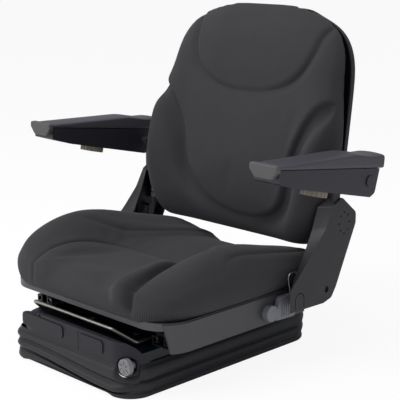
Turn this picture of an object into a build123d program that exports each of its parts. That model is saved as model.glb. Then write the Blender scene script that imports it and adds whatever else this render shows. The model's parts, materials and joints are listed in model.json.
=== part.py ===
from build123d import *
import os
from math import asin, atan2, cos, degrees, hypot, pi, radians, sin, tan

# Tractor suspension seat, in millimetres.
# +X is the sitter's left, -Y is the front of the seat, +Z is up.
# The origin is on the floor, at the centre of the four mounting bolts.

# Fits and clearances
running = 0.06          # radial clearance of a pin or shaft that turns in its hole
open_pivot = 0.8        # radial clearance of the crossing pivots of the scissor
roller_play = 0.6       # room above and below a roller in its channel
soft_gap = 0.4          # room between a soft piece and its neighbour
side_gap = 0.4          # room between two plates that turn side by side
seat_gap = 0.3          # room between two pieces that lie on each other and move
past_all = 400.0        # how far a cutting block reaches, past every piece

# Base tray
foot_half_x = 176.0     # outside of the bellows at the floor
foot_half_y = 244.0
foot_corner = 50.0
base_inset = 10.0       # base tray edge behind the outside of the bellows
base_sheet = 2.5
base_rim = 12.0
bolt_spacing_x = 300.0
bolt_spacing_y = 300.0
bolt_hole_r = 5.5
light_hole_r = 27.0     # holes that lighten the pressed trays
light_hole_spread_x = 62.0

# Scissor
arm_length = 300.0
arm_half_height = 11.0
arm_sheet = 6.0
inner_arm_x = 101.0     # inside face of the inner arm
arm_pitch = 10.0        # from an inner arm to the outer arm beside it
pivot_y = foot_half_y - 64.0
arm_rise = 47.0         # height of the upper pivots above the lower ones, seat right down
pivot_pin_r = 6.0
centre_pin_r = 5.0
pin_head_r = 9.0
pin_head = 2.0
roller_r = 10.0
roller_width = 12.0
roller_gap = 3.0        # from the outer arm to the roller beside it
axle_r = 5.0
cross_tube_r = 7.0
rear_tube_r = 6.0
rear_tube_reach = 40.0  # from the lower pivot to the rear cross tube
tie_reach = arm_length * 0.307  # from the upper pivot to the tie plate
tie_width = 24.0
tie_rise = 7.0          # tie plate above the arm's centre line
tie_sheet = 3.0

# Roller channels
channel_sheet = 2.5
channel_width = 18.0
channel_front_y = pivot_y - arm_length * 1.067
channel_rear_y = pivot_y - arm_length * 0.4

# Damper
damper_low_y = pivot_y - arm_length * 0.8
damper_high_y = pivot_y - arm_length * 0.1
damper_low_lift = 2.5   # lower eye above the lower scissor pivots
damper_high_drop = 11.0 # upper eye below the upper scissor pivots
damper_r = 10.0
damper_wall = 1.6
damper_rod_r = 4.0
damper_neck = 9.0
damper_length = arm_length * 0.367
damper_eye_r = 9.0
damper_eye_half = 8.0
damper_pin_r = 4.0
lug_sheet = 4.0
guide_play = 1.4        # radial room of the damper rod in its guide, as the tree opens here

# Upper frame of the suspension
frame_left_x = foot_half_x - 11.0
frame_right_x = foot_half_x - 13.0
frame_front_y = -foot_half_y + 15.0
frame_rear_y = foot_half_y - 13.0
frame_front_right_corner = 58.0
frame_front_left_corner = 32.0
frame_rear_corner = 30.0
frame_sheet = 3.0
flange_sheet = 2.0
flange_drop = 18.0
stop_r = 12.0
stop_x = 70.0
stop_front_y = -foot_half_y + 39.0
stop_rear_y = pivot_y - 20.0

# Bellows: (outward offset, height) of the outside, from the floor up
rubber = 2.5
bellows_outside = [
    (-6.0, 1.0),
    (-4.0, 4.0),
    (-4.0, 14.0),
    (-8.0, 19.0),
    (-8.0, 21.0),
    (-1.0, 26.0),
    (0.0, 30.0),
    (-1.0, 35.0),
    (-7.0, 40.0),
    (-7.0, 42.0),
    (-3.0, 47.0),
    (-3.0, 54.0),
    (-7.0, 60.0),
]
arch_half_width = 128.0
arch_height = 12.0

# Front cover of the suspension
cover_wall = 3.0
cover_front_y = -foot_half_y + 4.0
cover_left_x = foot_half_x - 4.0
cover_right_x = foot_half_x - 9.0
cover_left_corner = 46.0
cover_right_corner = 72.0
cover_low_z = 62.0
cover_top_z = 102.0
cover_rear_y = cover_front_y + 54.0
cover_lip = 9.0
right_cover_y = -100.0   # the side cover on the sitter's right starts further back
panel_raise = 2.0
panel_low_z = 71.0
panel_high_z = 95.0
first_panel = (-cover_right_x + 42.0, -6.0)
second_panel = (40.0, cover_left_x - 67.0)
joint_groove = 1.2

# Weight adjuster
knob_x = foot_half_x - 20.0
knob_z = 60.5
knob_r = 15.0
knob_depth = 9.0
knob_front_y = cover_front_y + 2.5
pod_r = 19.5
pod_wall = 2.0
pod_floor_y = cover_front_y + 24.0
bezel_r = 14.5
bezel_width = 2.2
bezel_depth = 3.0
screw_r = 4.0
yoke_y = pivot_y + arm_half_height + 1.5
yoke_travel = 12.0
yoke_sheet = 4.5
yoke_half_height = 9.0
yoke_tongue_y = pivot_y - arm_length * 0.393
screw_stub = 1.0
yoke_reach = 5.5        # from the screw to the end of the yoke
spring_x = 45.0
spring_r = 9.0
spring_turns = 12
hook_r = 2.0

# Slide rails
rail_inset = 55.0       # rail centre inside the edge of the pan
rail_half_width = 22.0
rail_height = 18.0
rail_sheet = 2.5
rail_lip = 10.0
rail_front_y = -160.0
rail_rear_y = 180.0
slider_half_width = 10.0
slider_foot = 6.5
slider_clear = 3.5      # slider foot above the rail floor
slider_top = 24.0       # slider top above the rail floor
ball_play = 0.1
ball_pitch = 250.0

# Slide release bar
bar_r = 3.5
bar_z = 108.5
bar_y = -212.0
bar_left_x = -126.0
bar_right_x = 95.0
bar_leg_inset = 10.0    # leg of the bar inside the lower rail
bar_leg_z = 87.0
bar_knee_y = -188.0
bar_pivot_y = -80.0
bar_hub_r = 7.0
bar_hub_half = 4.0
bar_pin_r = 3.0

# Isolator lever on the deck: pivot and tip seen from above
lever_pivot = (-frame_right_x + 60.0, frame_front_y + 12.0)
lever_tip = (-frame_right_x + 25.0, frame_front_y + 7.0)
lever_half_width = 8.0
lever_rise = 1.5        # lever above the deck
lever_sheet = 6.0
notch_x = -frame_right_x + 91.0
lever_pin_r = 4.0

# Seat frame and pan
pan_half_x = 220.0
pan_front_y = -204.5
pan_rear_y = 214.0
pan_front_corner = 60.0
pan_rear_corner = 30.0
pan_sheet = 2.5
pan_z = 124.0
pan_lip = 14.0
beam_width = 30.0
beam_sheet = 3.0
beam_ys = (-92.0, 20.0, 140.0)
runner_half_width = 16.0

# Side covers of the pan
skirt_wall = 3.0
skirt_low_z = 84.0
skirt_front_y = -190.0
skirt_rear_y = 156.0

# Seat cushion: widths are measured from the pan edge, heights from a level line
# (y, half width, foot half width, crest x, crest rise, middle rise)
cushion_foot_z = 127.5
cushion_level_z = 182.0
cushion_sections = [
    (-219.0, -114.0, -132.0, -144.0, -4.0, -8.0),
    (-209.0, -42.0, -70.0, -72.0, 14.0, 2.0),
    (-190.0, -14.0, -38.0, -50.0, 26.0, 9.0),
    (-155.0, 7.0, -17.0, -34.0, 40.0, 13.0),
    (-90.0, 18.0, -8.0, -22.0, 57.0, 14.0),
    (0.0, 18.0, -7.0, -20.0, 56.0, 12.0),
    (85.0, 11.0, -8.0, -20.0, 35.0, 10.0),
    (170.0, 3.0, -12.0, -30.0, 15.0, 0.0),
    (218.0, -2.0, -20.0, -44.0, 1.0, -16.0),
    (235.0, -24.0, -48.0, -70.0, -14.0, -31.0),
]

# Backrest: lean, and its sections up the leaning plane
lean = 9.0
back_y = 195.0          # leaning plane at the height of back_z
back_z = 202.0
back_rest = -30.0       # where the cushion meets the shell, behind the leaning plane
# (height, half width, middle depth, wing depth, edge depth) of the cushion
back_sections = [
    (202.0, 184.0, 8.0, 10.0, 2.0),
    (222.0, 208.0, 22.0, 30.0, 14.0),
    (262.0, 224.0, 34.0, 46.0, 26.0),
    (320.0, 232.0, 38.0, 57.0, 32.0),
    (385.0, 232.0, 33.0, 55.0, 30.0),
    (440.0, 227.0, 28.0, 40.0, 20.0),
    (485.0, 219.0, 25.0, 23.0, 6.0),
    (540.0, 213.0, 23.0, 9.0, -10.0),
    (582.0, 202.0, 17.0, -2.0, -16.0),
    (609.0, 180.0, 8.0, -11.0, -20.0),
    (628.0, 146.0, -2.0, -17.0, -22.0),
    (640.0, 104.0, -12.0, -20.0, -23.0),
    (647.0, 60.0, -20.0, -22.0, -24.0),
]
shell_wall = 3.0
shell_depth = 27.0      # from the cushion's back to the outside of the shell
# (height, half width) of the shell rim
shell_sections = [
    (212.0, 178.0),
    (240.0, 212.0),
    (300.0, 228.0),
    (400.0, 231.0),
    (500.0, 229.0),
    (550.0, 223.0),
    (588.0, 205.0),
    (614.0, 174.0),
    (632.0, 132.0),
    (643.0, 84.0),
]
hoop_half_x = 168.0
hoop_top_z = 560.0
hoop_r = 7.0
hoop_corner = 60.0
cross_bar_y = 238.0
cross_bar_sheet = 8.0
cross_bar_z = 240.0
cross_bar_height = 24.0

# Recline hinge
hinge_y = 173.0
hinge_z = 132.0
hinge_pin_r = 7.0
recliner_r = 16.0
bracket_sheet = 5.0
bracket_front_y = 138.0
bracket_rear_y = 204.0
bracket_low_z = 100.0
strap_sheet = 3.0
strap_top = (190.0, 207.0)
return_spring_y = 200.0
return_spring_r = 5.5
return_spring_wire = 1.0
return_spring_low_z = 222.0
return_spring_high_z = 276.0

# Ears that cover the recline plates
ear_outside = 42.0      # outer face of the ear beyond the pan edge
ear_depth = 25.0
ear_wall = 3.0
plate_sheet = 5.0
ear_dots = 8
ear_dot_r = 1.8
ear_dot_ring = 20.0
ear_dot_centre = (221.0, 252.0)
tongue_low = (83.0, 109.0)
tongue_high = 142.0
tongue_width = 26.0
tongue_slit = 1.6

# Recline paddle
paddle_y = 52.0
paddle_z = 106.0
paddle_rear_y = 116.0
paddle_low_z = 88.0
paddle_high_z = 133.0
paddle_depth = 11.0
paddle_boss_r = 15.0
paddle_pin_r = 4.0
paddle_ribs = 6

# Armrests
arm_gap = 10.0          # armrest beyond the outer face of the ear
arm_width = 62.0
arm_front_y = -56.0
arm_cap = 10.0
arm_hinge_y = 201.5
arm_hinge_z = 345.0
arm_pin_r = 6.0
arm_boss_r = 12.0
pad_overhang = 2.0
housing_wall = 3.0
pivot_cap_r = 11.0
pivot_cap_proud = 2.0
wheel_y = 80.0
wheel_r = 24.0
wheel_depth = 10.0
wheel_stem_r = 4.0
wheel_notches = 18

# Worked out from the sizes above
ear_outer_x = pan_half_x + ear_outside
arm_inner_x = ear_outer_x + arm_gap
rail_x = pan_half_x - rail_inset
bar_leg_x = rail_x - rail_half_width - bar_leg_inset
outer_arm_x = inner_arm_x + arm_pitch
roller_x = outer_arm_x + arm_sheet + roller_gap
channel_x = roller_x - 1.0
channel_inside = 2 * (roller_r + roller_play)
low_pivot_z = base_sheet + channel_sheet + roller_play + roller_r
high_pivot_z = low_pivot_z + arm_rise
arm_angle = asin(arm_rise / arm_length)
arm_reach = arm_length * cos(arm_angle)
front_y = pivot_y - arm_reach
frame_low_z = high_pivot_z + roller_r + roller_play + channel_sheet
deck_z = frame_low_z + frame_sheet
slider_z = deck_z + slider_top
lever_z = deck_z + lever_rise
recliner_x = pan_half_x + skirt_wall + seat_gap
plate_x = ear_outer_x - ear_wall - seat_gap - plate_sheet
arm_outer_x = arm_inner_x + arm_width
housing_inner_x = arm_inner_x + pad_overhang
housing_outer_x = arm_outer_x - pad_overhang


def prism_x(face, x0, x1):
    return Pos(x0, 0, 0) * extrude(Plane.YZ * face, x1 - x0)


def prism_y(face, y0, y1):
    return Pos(0, y1, 0) * extrude(Plane.XZ * face, y1 - y0)


def prism_z(face, z0, z1):
    return Pos(0, 0, z0) * extrude(face, z1 - z0)


def block(x0, x1, y0, y1, z0, z1):
    centre = Pos((x0 + x1) / 2, (y0 + y1) / 2, (z0 + z1) / 2)
    return centre * Box(abs(x1 - x0), abs(y1 - y0), abs(z1 - z0))


def rod_x(x0, x1, y, z, r):
    return Pos((x0 + x1) / 2, y, z) * Rot(0, 90, 0) * Cylinder(r, abs(x1 - x0))


def rod_y(x, y0, y1, z, r):
    return Pos(x, (y0 + y1) / 2, z) * Rot(90, 0, 0) * Cylinder(r, abs(y1 - y0))


def rod_z(x, y, z0, z1, r):
    return Pos(x, y, (z0 + z1) / 2) * Cylinder(r, abs(z1 - z0))


def polygon(points):
    return make_face(Polyline(*points, close=True))


def soft_polygon(points, radii):
    return make_face(FilletPolyline(*points, radius=radii, close=True))


def disc(y, z, r):
    return Pos(y, z) * Circle(r)


def link(p, q, half_height):
    span = hypot(q[0] - p[0], q[1] - p[1])
    turn = degrees(atan2(q[1] - p[1], q[0] - p[0]))
    middle = Pos((p[0] + q[0]) / 2, (p[1] + q[1]) / 2)
    return middle * Rot(0, 0, turn) * SlotCenterToCenter(span, 2 * half_height)


def other_side(piece):
    return mirror(piece, Plane.YZ)


def both_sides(piece):
    return [piece, other_side(piece)]


def footprint(inset):
    half_x = foot_half_x - inset
    half_y = foot_half_y - inset
    return RectangleRounded(2 * half_x, 2 * half_y, foot_corner - inset)


def frame_outline(inset):
    x0 = -frame_right_x + inset
    x1 = frame_left_x - inset
    y0 = frame_front_y + inset
    y1 = frame_rear_y - inset
    right = frame_front_right_corner - inset
    left = frame_front_left_corner - inset
    rear = frame_rear_corner - inset
    return soft_polygon([(x0, y0), (x1, y0), (x1, y1), (x0, y1)], [right, left, rear, rear])


def along(p, q, reach):
    span = hypot(q[0] - p[0], q[1] - p[1])
    return (p[0] + (q[0] - p[0]) * reach / span, p[1] + (q[1] - p[1]) * reach / span)


def write(name, *pieces):
    solids = []
    for piece in pieces:
        solids.extend(piece.solids())
    export_step(solids[0] if len(solids) == 1 else Compound(children=solids), f"parts/{name}.step")


def light_holes(low_z, high_z, rows):
    holes = []
    for row in rows:
        for side in (-1, 1):
            holes.append(rod_z(side * light_hole_spread_x, row, low_z, high_z, light_hole_r))
    return holes


# Base tray with its pivot ears, damper lugs and bolt holes

def base_frame():
    tray = prism_z(footprint(base_inset), 0, base_rim)
    tray -= prism_z(footprint(base_inset + base_sheet), base_sheet, base_rim + 1)
    tray -= light_holes(-1, base_sheet + 1, (-150, 60))
    tray -= rod_z(0, 205, -1, base_sheet + 1, light_hole_r / 2)
    ear_height = low_pivot_z + pin_head_r
    ear = polygon([
        (pivot_y - 18, base_sheet),
        (pivot_y + 18, base_sheet),
        (pivot_y + pin_head_r, ear_height),
        (pivot_y - pin_head_r, ear_height),
    ])
    ear_outer_face = inner_arm_x - side_gap
    ear_piece = prism_x(ear, ear_outer_face - lug_sheet, ear_outer_face)
    tray += both_sides(ear_piece)
    lug = polygon([
        (damper_low_y - 14, base_sheet),
        (damper_low_y + 14, base_sheet),
        (damper_low_y + damper_eye_r, damper_low_z + damper_eye_r),
        (damper_low_y - damper_eye_r, damper_low_z + damper_eye_r),
    ])
    lug_x = damper_eye_half + side_gap
    tray += both_sides(prism_x(lug, lug_x, lug_x + lug_sheet))
    for x in (-bolt_spacing_x / 2, bolt_spacing_x / 2):
        for y in (-bolt_spacing_y / 2, bolt_spacing_y / 2):
            tray -= rod_z(x, y, -1, base_sheet + 1, bolt_hole_r)
    reach = ear_outer_face + 1
    tray -= rod_x(-reach, reach, pivot_y, low_pivot_z, pivot_pin_r)
    reach = lug_x + lug_sheet + 1
    tray -= rod_x(-reach, reach, damper_low_y, damper_low_z, damper_pin_r)
    return tray


def roller_channel(centre_z):
    half = channel_inside / 2
    x0 = channel_x
    x1 = channel_x + channel_width
    outside = block(x0, x1, channel_front_y, channel_rear_y,
                    centre_z - half - channel_sheet, centre_z + half + channel_sheet)
    inside = block(x0 - 1, x1 - channel_sheet, channel_front_y - 1, channel_rear_y + 1,
                   centre_z - half, centre_z + half)
    return outside - inside


def bump_stops():
    stops = []
    for x in (-stop_x, stop_x):
        for y in (stop_front_y, stop_rear_y):
            foot = rod_z(x, y, base_sheet, base_sheet + 14, stop_r)
            height = frame_low_z - seat_gap - base_sheet - 14
            head = Pos(x, y, base_sheet + 14 + height / 2) * Cone(stop_r, stop_r * 0.6, height)
            stops.append(foot + head)
    return stops


def headed_pin(x0, x1, y, z, r, head_r):
    return rod_x(x0, x1, y, z, r) + rod_x(x1, x1 + pin_head, y, z, head_r)


def base_pins():
    ear_inner_face = inner_arm_x - side_gap - lug_sheet
    head_x = inner_arm_x + arm_sheet + side_gap
    pivot = headed_pin(ear_inner_face, head_x, pivot_y, low_pivot_z, pivot_pin_r, pin_head_r)
    reach = damper_eye_half + side_gap + lug_sheet
    damper = rod_x(-reach, reach, damper_low_y, damper_low_z, damper_pin_r)
    return both_sides(pivot) + [damper]


# Rubber bellows round the suspension

def bellows():
    outside = []
    inside = []
    for offset, z in bellows_outside:
        outside.append(Pos(0, 0, z) * footprint(-offset))
        inside.append(Pos(0, 0, z) * footprint(-offset + rubber))
    low_z = bellows_outside[0][1]
    high_z = bellows_outside[-1][1]
    skin = loft(outside, ruled=True)
    hollow = loft(inside, ruled=True)
    hollow &= block(-past_all, past_all, -past_all, past_all, low_z + rubber, high_z - rubber)
    skin -= hollow
    skin -= prism_z(footprint(base_inset - soft_gap), low_z - 1, low_z + rubber + 0.1)
    skin -= prism_z(frame_outline(-soft_gap), high_z - rubber - 0.1, high_z + 1)
    arch_r = (arch_half_width ** 2 + arch_height ** 2) / (2 * arch_height)
    skin -= rod_y(0, -foot_half_y - 5, -foot_half_y + 14, arch_height - arch_r, arch_r)
    skin -= rod_y(knob_x, -foot_half_y - 5, pod_floor_y + pod_wall + 2, knob_z,
                  pod_r + soft_gap)
    return skin


# Scissor arms, their rollers and pins

low_rear = (pivot_y, low_pivot_z)
high_front = (front_y, high_pivot_z)
high_rear = (pivot_y, high_pivot_z)
low_front = (front_y, low_pivot_z)
crossing = ((pivot_y + front_y) / 2, (low_pivot_z + high_pivot_z) / 2)
damper_low_z = low_pivot_z + damper_low_lift
damper_high_z = high_pivot_z - damper_high_drop


def scissor_arm(rear, front, x0, centre_r):
    face = link(rear, front, arm_half_height)
    face -= disc(rear[0], rear[1], pivot_pin_r + running)
    face -= disc(crossing[0], crossing[1], centre_r)
    return prism_x(face, x0, x0 + arm_sheet)


def scissor_axle(front, arm_face):
    tube = rod_x(-arm_face, arm_face, front[0], front[1], cross_tube_r)
    reach = roller_x + roller_width + 1
    return tube + rod_x(-reach, reach, front[0], front[1], axle_r)


def inner_scissor():
    arm = scissor_arm(low_rear, high_front, inner_arm_x, centre_pin_r)
    frame = arm + other_side(arm)
    frame += scissor_axle(high_front, inner_arm_x)
    y, z = along(low_rear, high_front, rear_tube_reach)
    frame += rod_x(-inner_arm_x, inner_arm_x, y, z, rear_tube_r)
    return frame


def outer_scissor():
    arm = scissor_arm(high_rear, low_front, outer_arm_x, centre_pin_r + open_pivot)
    frame = arm + other_side(arm)
    frame += scissor_axle(low_front, outer_arm_x)
    y, z = along(high_rear, low_front, tie_reach)
    plate = Box(2 * outer_arm_x + arm_sheet, tie_width, tie_sheet)
    frame += Pos(0, y, z + tie_rise) * Rot(degrees(arm_angle), 0, 0) * plate
    return frame


def centre_pins():
    head_x = outer_arm_x + arm_sheet + side_gap
    pin = rod_x(inner_arm_x, head_x, crossing[0], crossing[1], centre_pin_r)
    pin += rod_x(head_x, head_x + pin_head / 2, crossing[0], crossing[1], pin_head_r)
    return both_sides(pin)


def rollers(front):
    wheel = rod_x(roller_x, roller_x + roller_width, front[0], front[1], roller_r)
    wheel -= rod_x(roller_x - 1, roller_x + roller_width + 1, front[0], front[1], axle_r + running)
    return both_sides(wheel)


# Damper, drawn along its own line and then laid between its two pins

damper_span = hypot(damper_high_y - damper_low_y, damper_high_z - damper_low_z)
damper_tilt = degrees(atan2(damper_high_z - damper_low_z, damper_high_y - damper_low_y))


def laid(piece):
    return Pos(0, damper_low_y, damper_low_z) * Rot(damper_tilt, 0, 0) * piece


def damper_eye(y):
    eye = rod_x(-damper_eye_half, damper_eye_half, y, 0, damper_eye_r)
    return eye, rod_x(-damper_eye_half - 1, damper_eye_half + 1, y, 0, damper_pin_r + running)


def damper_tube():
    start = damper_eye_r + damper_neck
    tube = rod_y(0, start, start + damper_length, 0, damper_r)
    tube += rod_y(0, damper_eye_r - 2, start, 0, damper_r - 4)
    eye, hole = damper_eye(0)
    tube = tube + eye - hole
    tube -= rod_y(0, start + 8, start + damper_length - 8, 0, damper_r - damper_wall)
    guide_r = damper_rod_r + guide_play
    tube -= rod_y(0, start + damper_length - 9, start + damper_length + 1, 0, guide_r)
    return laid(tube)


def damper_rod():
    start = damper_eye_r + damper_neck
    rod = rod_y(0, start + 70, damper_span - damper_eye_r + 2, 0, damper_rod_r)
    piston_r = damper_r - damper_wall - guide_play
    rod += rod_y(0, start + 62, start + 72, 0, piston_r)
    eye, hole = damper_eye(damper_span)
    return laid(rod + eye - hole)


# Upper frame: flat deck, the flange welded round its edge, and the welded lugs

def pod_clearance():
    return rod_y(knob_x, -foot_half_y, pod_floor_y + pod_wall + 1, knob_z, pod_r + 1)


def upper_frame():
    deck = prism_z(frame_outline(0), frame_low_z, deck_z)
    return deck - pod_clearance() - light_holes(frame_low_z - 1, deck_z + 1, (-150, -30, 90))


def upper_flange():
    ring = prism_z(frame_outline(0), frame_low_z - flange_drop, frame_low_z)
    ring -= prism_z(frame_outline(flange_sheet), frame_low_z - flange_drop - 1, frame_low_z + 1)
    ring -= rod_y(knob_x, -foot_half_y, bearing_y + 10, knob_z, screw_r + running)
    return ring - pod_clearance()


def upper_lugs():
    # Pivot ears, damper lugs and screw bearing under the deck, bar brackets on top of it.
    ear_x1 = outer_arm_x - side_gap
    ear = prism_x(polygon([
        (pivot_y - 18, frame_low_z),
        (pivot_y + 10, frame_low_z),
        (pivot_y + pin_head_r, high_pivot_z - pin_head_r),
        (pivot_y - pin_head_r, high_pivot_z - pin_head_r),
    ]), ear_x1 - lug_sheet, ear_x1)
    ear -= rod_x(0, ear_x1 + 1, pivot_y, high_pivot_z, pivot_pin_r)
    lug_x = damper_eye_half + side_gap
    lug = prism_x(polygon([
        (damper_high_y - 16, frame_low_z),
        (damper_high_y + 16, frame_low_z),
        (damper_high_y + damper_eye_r, damper_high_z - damper_eye_r),
        (damper_high_y - damper_eye_r, damper_high_z - damper_eye_r),
    ]), lug_x, lug_x + lug_sheet)
    lug -= rod_x(0, lug_x + lug_sheet + 1, damper_high_y, damper_high_z, damper_pin_r)
    bearing = block(knob_x - 8, frame_left_x - flange_sheet, bearing_y, bearing_y + 8,
                    knob_z - 8, frame_low_z)
    bearing -= rod_y(knob_x, bearing_y - 1, bearing_y + 10, knob_z, screw_r + running)
    bracket = block(bar_bracket_x - lug_sheet, bar_bracket_x, bar_pivot_y - 10,
                    bar_pivot_y + 10, deck_z, bar_leg_z + bar_hub_r)
    bracket -= rod_x(0, bar_bracket_x + 1, bar_pivot_y, bar_leg_z, bar_pin_r)
    return both_sides(ear) + both_sides(lug) + [bearing] + both_sides(bracket)


bar_bracket_x = bar_leg_x - bar_hub_half - side_gap
bearing_y = pivot_y - 26


def top_pins():
    ear_inner_face = outer_arm_x - side_gap - lug_sheet
    head_x = outer_arm_x + arm_sheet + side_gap
    pivot = rod_x(ear_inner_face, head_x, pivot_y, high_pivot_z, pivot_pin_r)
    pivot += rod_x(head_x, head_x + pin_head, pivot_y, high_pivot_z, pin_head_r)
    reach = damper_eye_half + side_gap + lug_sheet
    damper = rod_x(-reach, reach, damper_high_y, damper_high_z, damper_pin_r)
    bar_pin = rod_x(bar_bracket_x - lug_sheet, bar_leg_x + bar_hub_half, bar_pivot_y, bar_leg_z,
                    bar_pin_r)
    return both_sides(pivot) + [damper] + both_sides(bar_pin)


# Moulded front cover with its raised panels and the pod of the weight knob

def cover_outline(inset):
    x0 = -cover_right_x + inset
    x1 = cover_left_x - inset
    y0 = cover_front_y + inset
    right = cover_right_corner - inset
    left = cover_left_corner - inset
    return soft_polygon([(x0, y0), (x1, y0), (x1, 0), (x0, 0)], [right, left, 1, 1])


def front_cover():
    wall = prism_z(cover_outline(0), cover_low_z, cover_top_z)
    wall -= prism_z(cover_outline(cover_wall), cover_low_z - 1, cover_top_z + 1)
    lip = prism_z(cover_outline(0), cover_top_z - cover_wall, cover_top_z)
    lip -= prism_z(cover_outline(cover_lip), cover_low_z, cover_top_z + 1)
    wall += lip
    reach = foot_half_x + 20
    wall -= block(-reach, reach, cover_rear_y, foot_half_y, 0, cover_top_z + 1)
    slope = polygon([
        (cover_rear_y + 1, cover_low_z - 6),
        (cover_front_y + 22, cover_top_z - 9.5),
        (cover_front_y + 8, cover_top_z + 1),
        (cover_rear_y + 1, cover_top_z + 1),
    ])
    corner = cover_left_x - cover_left_corner
    for side in (-1, 1):
        wall -= prism_x(slope, min(side * corner, side * reach), max(side * corner, side * reach))
    for low_x, high_x in (first_panel, second_panel):
        centre = Pos((low_x + high_x) / 2, (panel_low_z + panel_high_z) / 2)
        panel = centre * RectangleRounded(high_x - low_x, panel_high_z - panel_low_z, 7)
        wall += prism_y(panel, cover_front_y - panel_raise, cover_front_y + 1)
    groove_x = second_panel[0] - 4
    wall -= block(groove_x, groove_x + joint_groove, cover_front_y - 1, cover_front_y + 1,
                  cover_low_z - 1, cover_top_z - cover_wall)
    for x in (-90, 0, 80):
        wall += block(x - 2, x + 2, cover_front_y + 1, frame_front_y, cover_low_z + 2, frame_low_z)
    wall -= block(-reach, notch_x, cover_front_y - 1, cover_rear_y, lever_z - 1.5, cover_top_z + 1)
    pod = rod_y(knob_x, cover_front_y, pod_floor_y + pod_wall, knob_z, pod_r)
    pod &= prism_z(cover_outline(0), 0, deck_z + 10)
    wall += pod
    depth = pod_floor_y - cover_front_y + 1
    pocket = Pos(knob_x, pod_floor_y - depth / 2, knob_z) * Rot(90, 0, 0)
    wall -= pocket * Cone(bezel_r + running, pod_r - pod_wall + 1, depth)
    wall -= rod_y(knob_x, pod_floor_y - 1, cover_rear_y, knob_z, screw_r + 1)
    return wall


def knob_bezel():
    ring = rod_y(knob_x, pod_floor_y - bezel_depth, pod_floor_y, knob_z, bezel_r)
    return ring - rod_y(knob_x, pod_floor_y - bezel_depth - 1, pod_floor_y + 1, knob_z,
                        bezel_r - bezel_width)


def weight_knob():
    y0 = knob_front_y
    knob = rod_y(knob_x, y0, y0 + knob_depth, knob_z, knob_r)
    knob = fillet(knob.edges().group_by(Axis.Y)[0], 1.2)
    for spoke in range(6):
        turn = Pos(knob_x, y0, knob_z) * Rot(0, 60 * spoke, 0)
        knob -= turn * Pos(0, 0, knob_r * 0.55) * Box(2.4, 2.0, knob_r * 0.5)
    knob += rod_y(knob_x, y0 + knob_depth, pod_floor_y - seat_gap, knob_z, screw_r + 3)
    return knob


def adjuster_screw():
    end = yoke_y + yoke_sheet + yoke_travel + screw_stub
    return rod_y(knob_x, pod_floor_y - seat_gap, end, knob_z, screw_r)


def adjuster_yoke():
    height = yoke_half_height
    reach = knob_x + yoke_reach
    yoke = block(-spring_x - 14, reach, yoke_y, yoke_y + yoke_sheet,
                 spring_z - height, spring_z + height)
    for x in (-spring_x, spring_x):
        yoke += block(x - 7, x + 7, yoke_tongue_y, yoke_y, spring_z - 1.5, spring_z + 1.5)
        yoke -= rod_z(x, yoke_tongue_y + 7, spring_z - 3, spring_z + 3, 3.5)
    yoke -= rod_y(knob_x, yoke_y - 1, yoke_y + yoke_sheet + 1, knob_z, screw_r + running)
    return yoke


spring_z = high_pivot_z


def tension_springs():
    # Each spring is drawn as a ridged barrel, one ridge for each pair of turns.
    start = front_y + cross_tube_r + 12
    end = yoke_tongue_y - 6
    pitch = (end - start) / spring_turns
    springs = []
    for x in (-spring_x, spring_x):
        points = [(0, start)]
        for turn in range(spring_turns):
            points.append((spring_r - 1.5, start + turn * pitch))
            points.append((spring_r, start + (turn + 0.5) * pitch))
        points.append((spring_r - 1.5, end))
        points.append((0, end))
        barrel = revolve(polygon(points), Axis.Y)
        barrel = Pos(x, 0, spring_z) * barrel
        hook_y = front_y + cross_tube_r + soft_gap
        barrel += rod_y(x, hook_y, start + 1, spring_z, hook_r)
        barrel += rod_y(x, end - 1, yoke_tongue_y - soft_gap, spring_z, hook_r)
        springs.append(barrel)
    return springs


# Slide rails: the lower rail is bolted to the deck, the slider carries the seat

def lower_rail():
    x0 = rail_x - rail_half_width
    x1 = rail_x + rail_half_width
    z1 = deck_z + rail_height
    rail = block(x0, x1, rail_front_y, rail_rear_y, deck_z, z1)
    rail -= block(x0 + rail_sheet, x1 - rail_sheet, rail_front_y - 1, rail_rear_y + 1,
                  deck_z + rail_sheet, z1 - rail_sheet)
    rail -= block(x0 + rail_lip, x1 - rail_lip, rail_front_y - 1, rail_rear_y + 1, deck_z + 3, z1 + 1)
    return rail


slider_foot_z = deck_z + rail_sheet + slider_clear


def upper_rail():
    half = slider_half_width
    rail = block(rail_x - half, rail_x + half, rail_front_y, rail_rear_y, slider_foot_z, slider_z)
    rail -= block(rail_x - half + rail_sheet, rail_x + half - rail_sheet,
                  rail_front_y - 1, rail_rear_y + 1, slider_foot_z - 1, slider_z - rail_sheet)
    for side in (-1, 1):
        inner = rail_x + side * (half - rail_sheet)
        outer = rail_x + side * (half + slider_foot)
        rail += block(min(inner, outer), max(inner, outer), rail_front_y, rail_rear_y,
                      slider_foot_z, slider_foot_z + rail_sheet)
    return rail


def rail_balls():
    low = slider_foot_z + rail_sheet
    high = deck_z + rail_height - rail_sheet
    ball_r = (high - low) / 2 - ball_play
    balls = []
    for rail_side in (-1, 1):
        for side in (-1, 1):
            for y in (rail_front_y + 6, rail_front_y + 6 + ball_pitch):
                x = rail_side * rail_x + side * (slider_half_width + ball_r + ball_play)
                balls.append(Pos(x, y, (low + high) / 2) * Sphere(ball_r))
    return balls


def rail_bolts():
    bolts = []
    for x in (-rail_x, rail_x):
        for y in (rail_front_y + 40, rail_rear_y - 40):
            floor_z = deck_z + rail_sheet
            bolts.append(rod_z(x, y, floor_z, floor_z + 2.5, 5))
    return bolts


# Release bar across the front, in front of the rails

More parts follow.
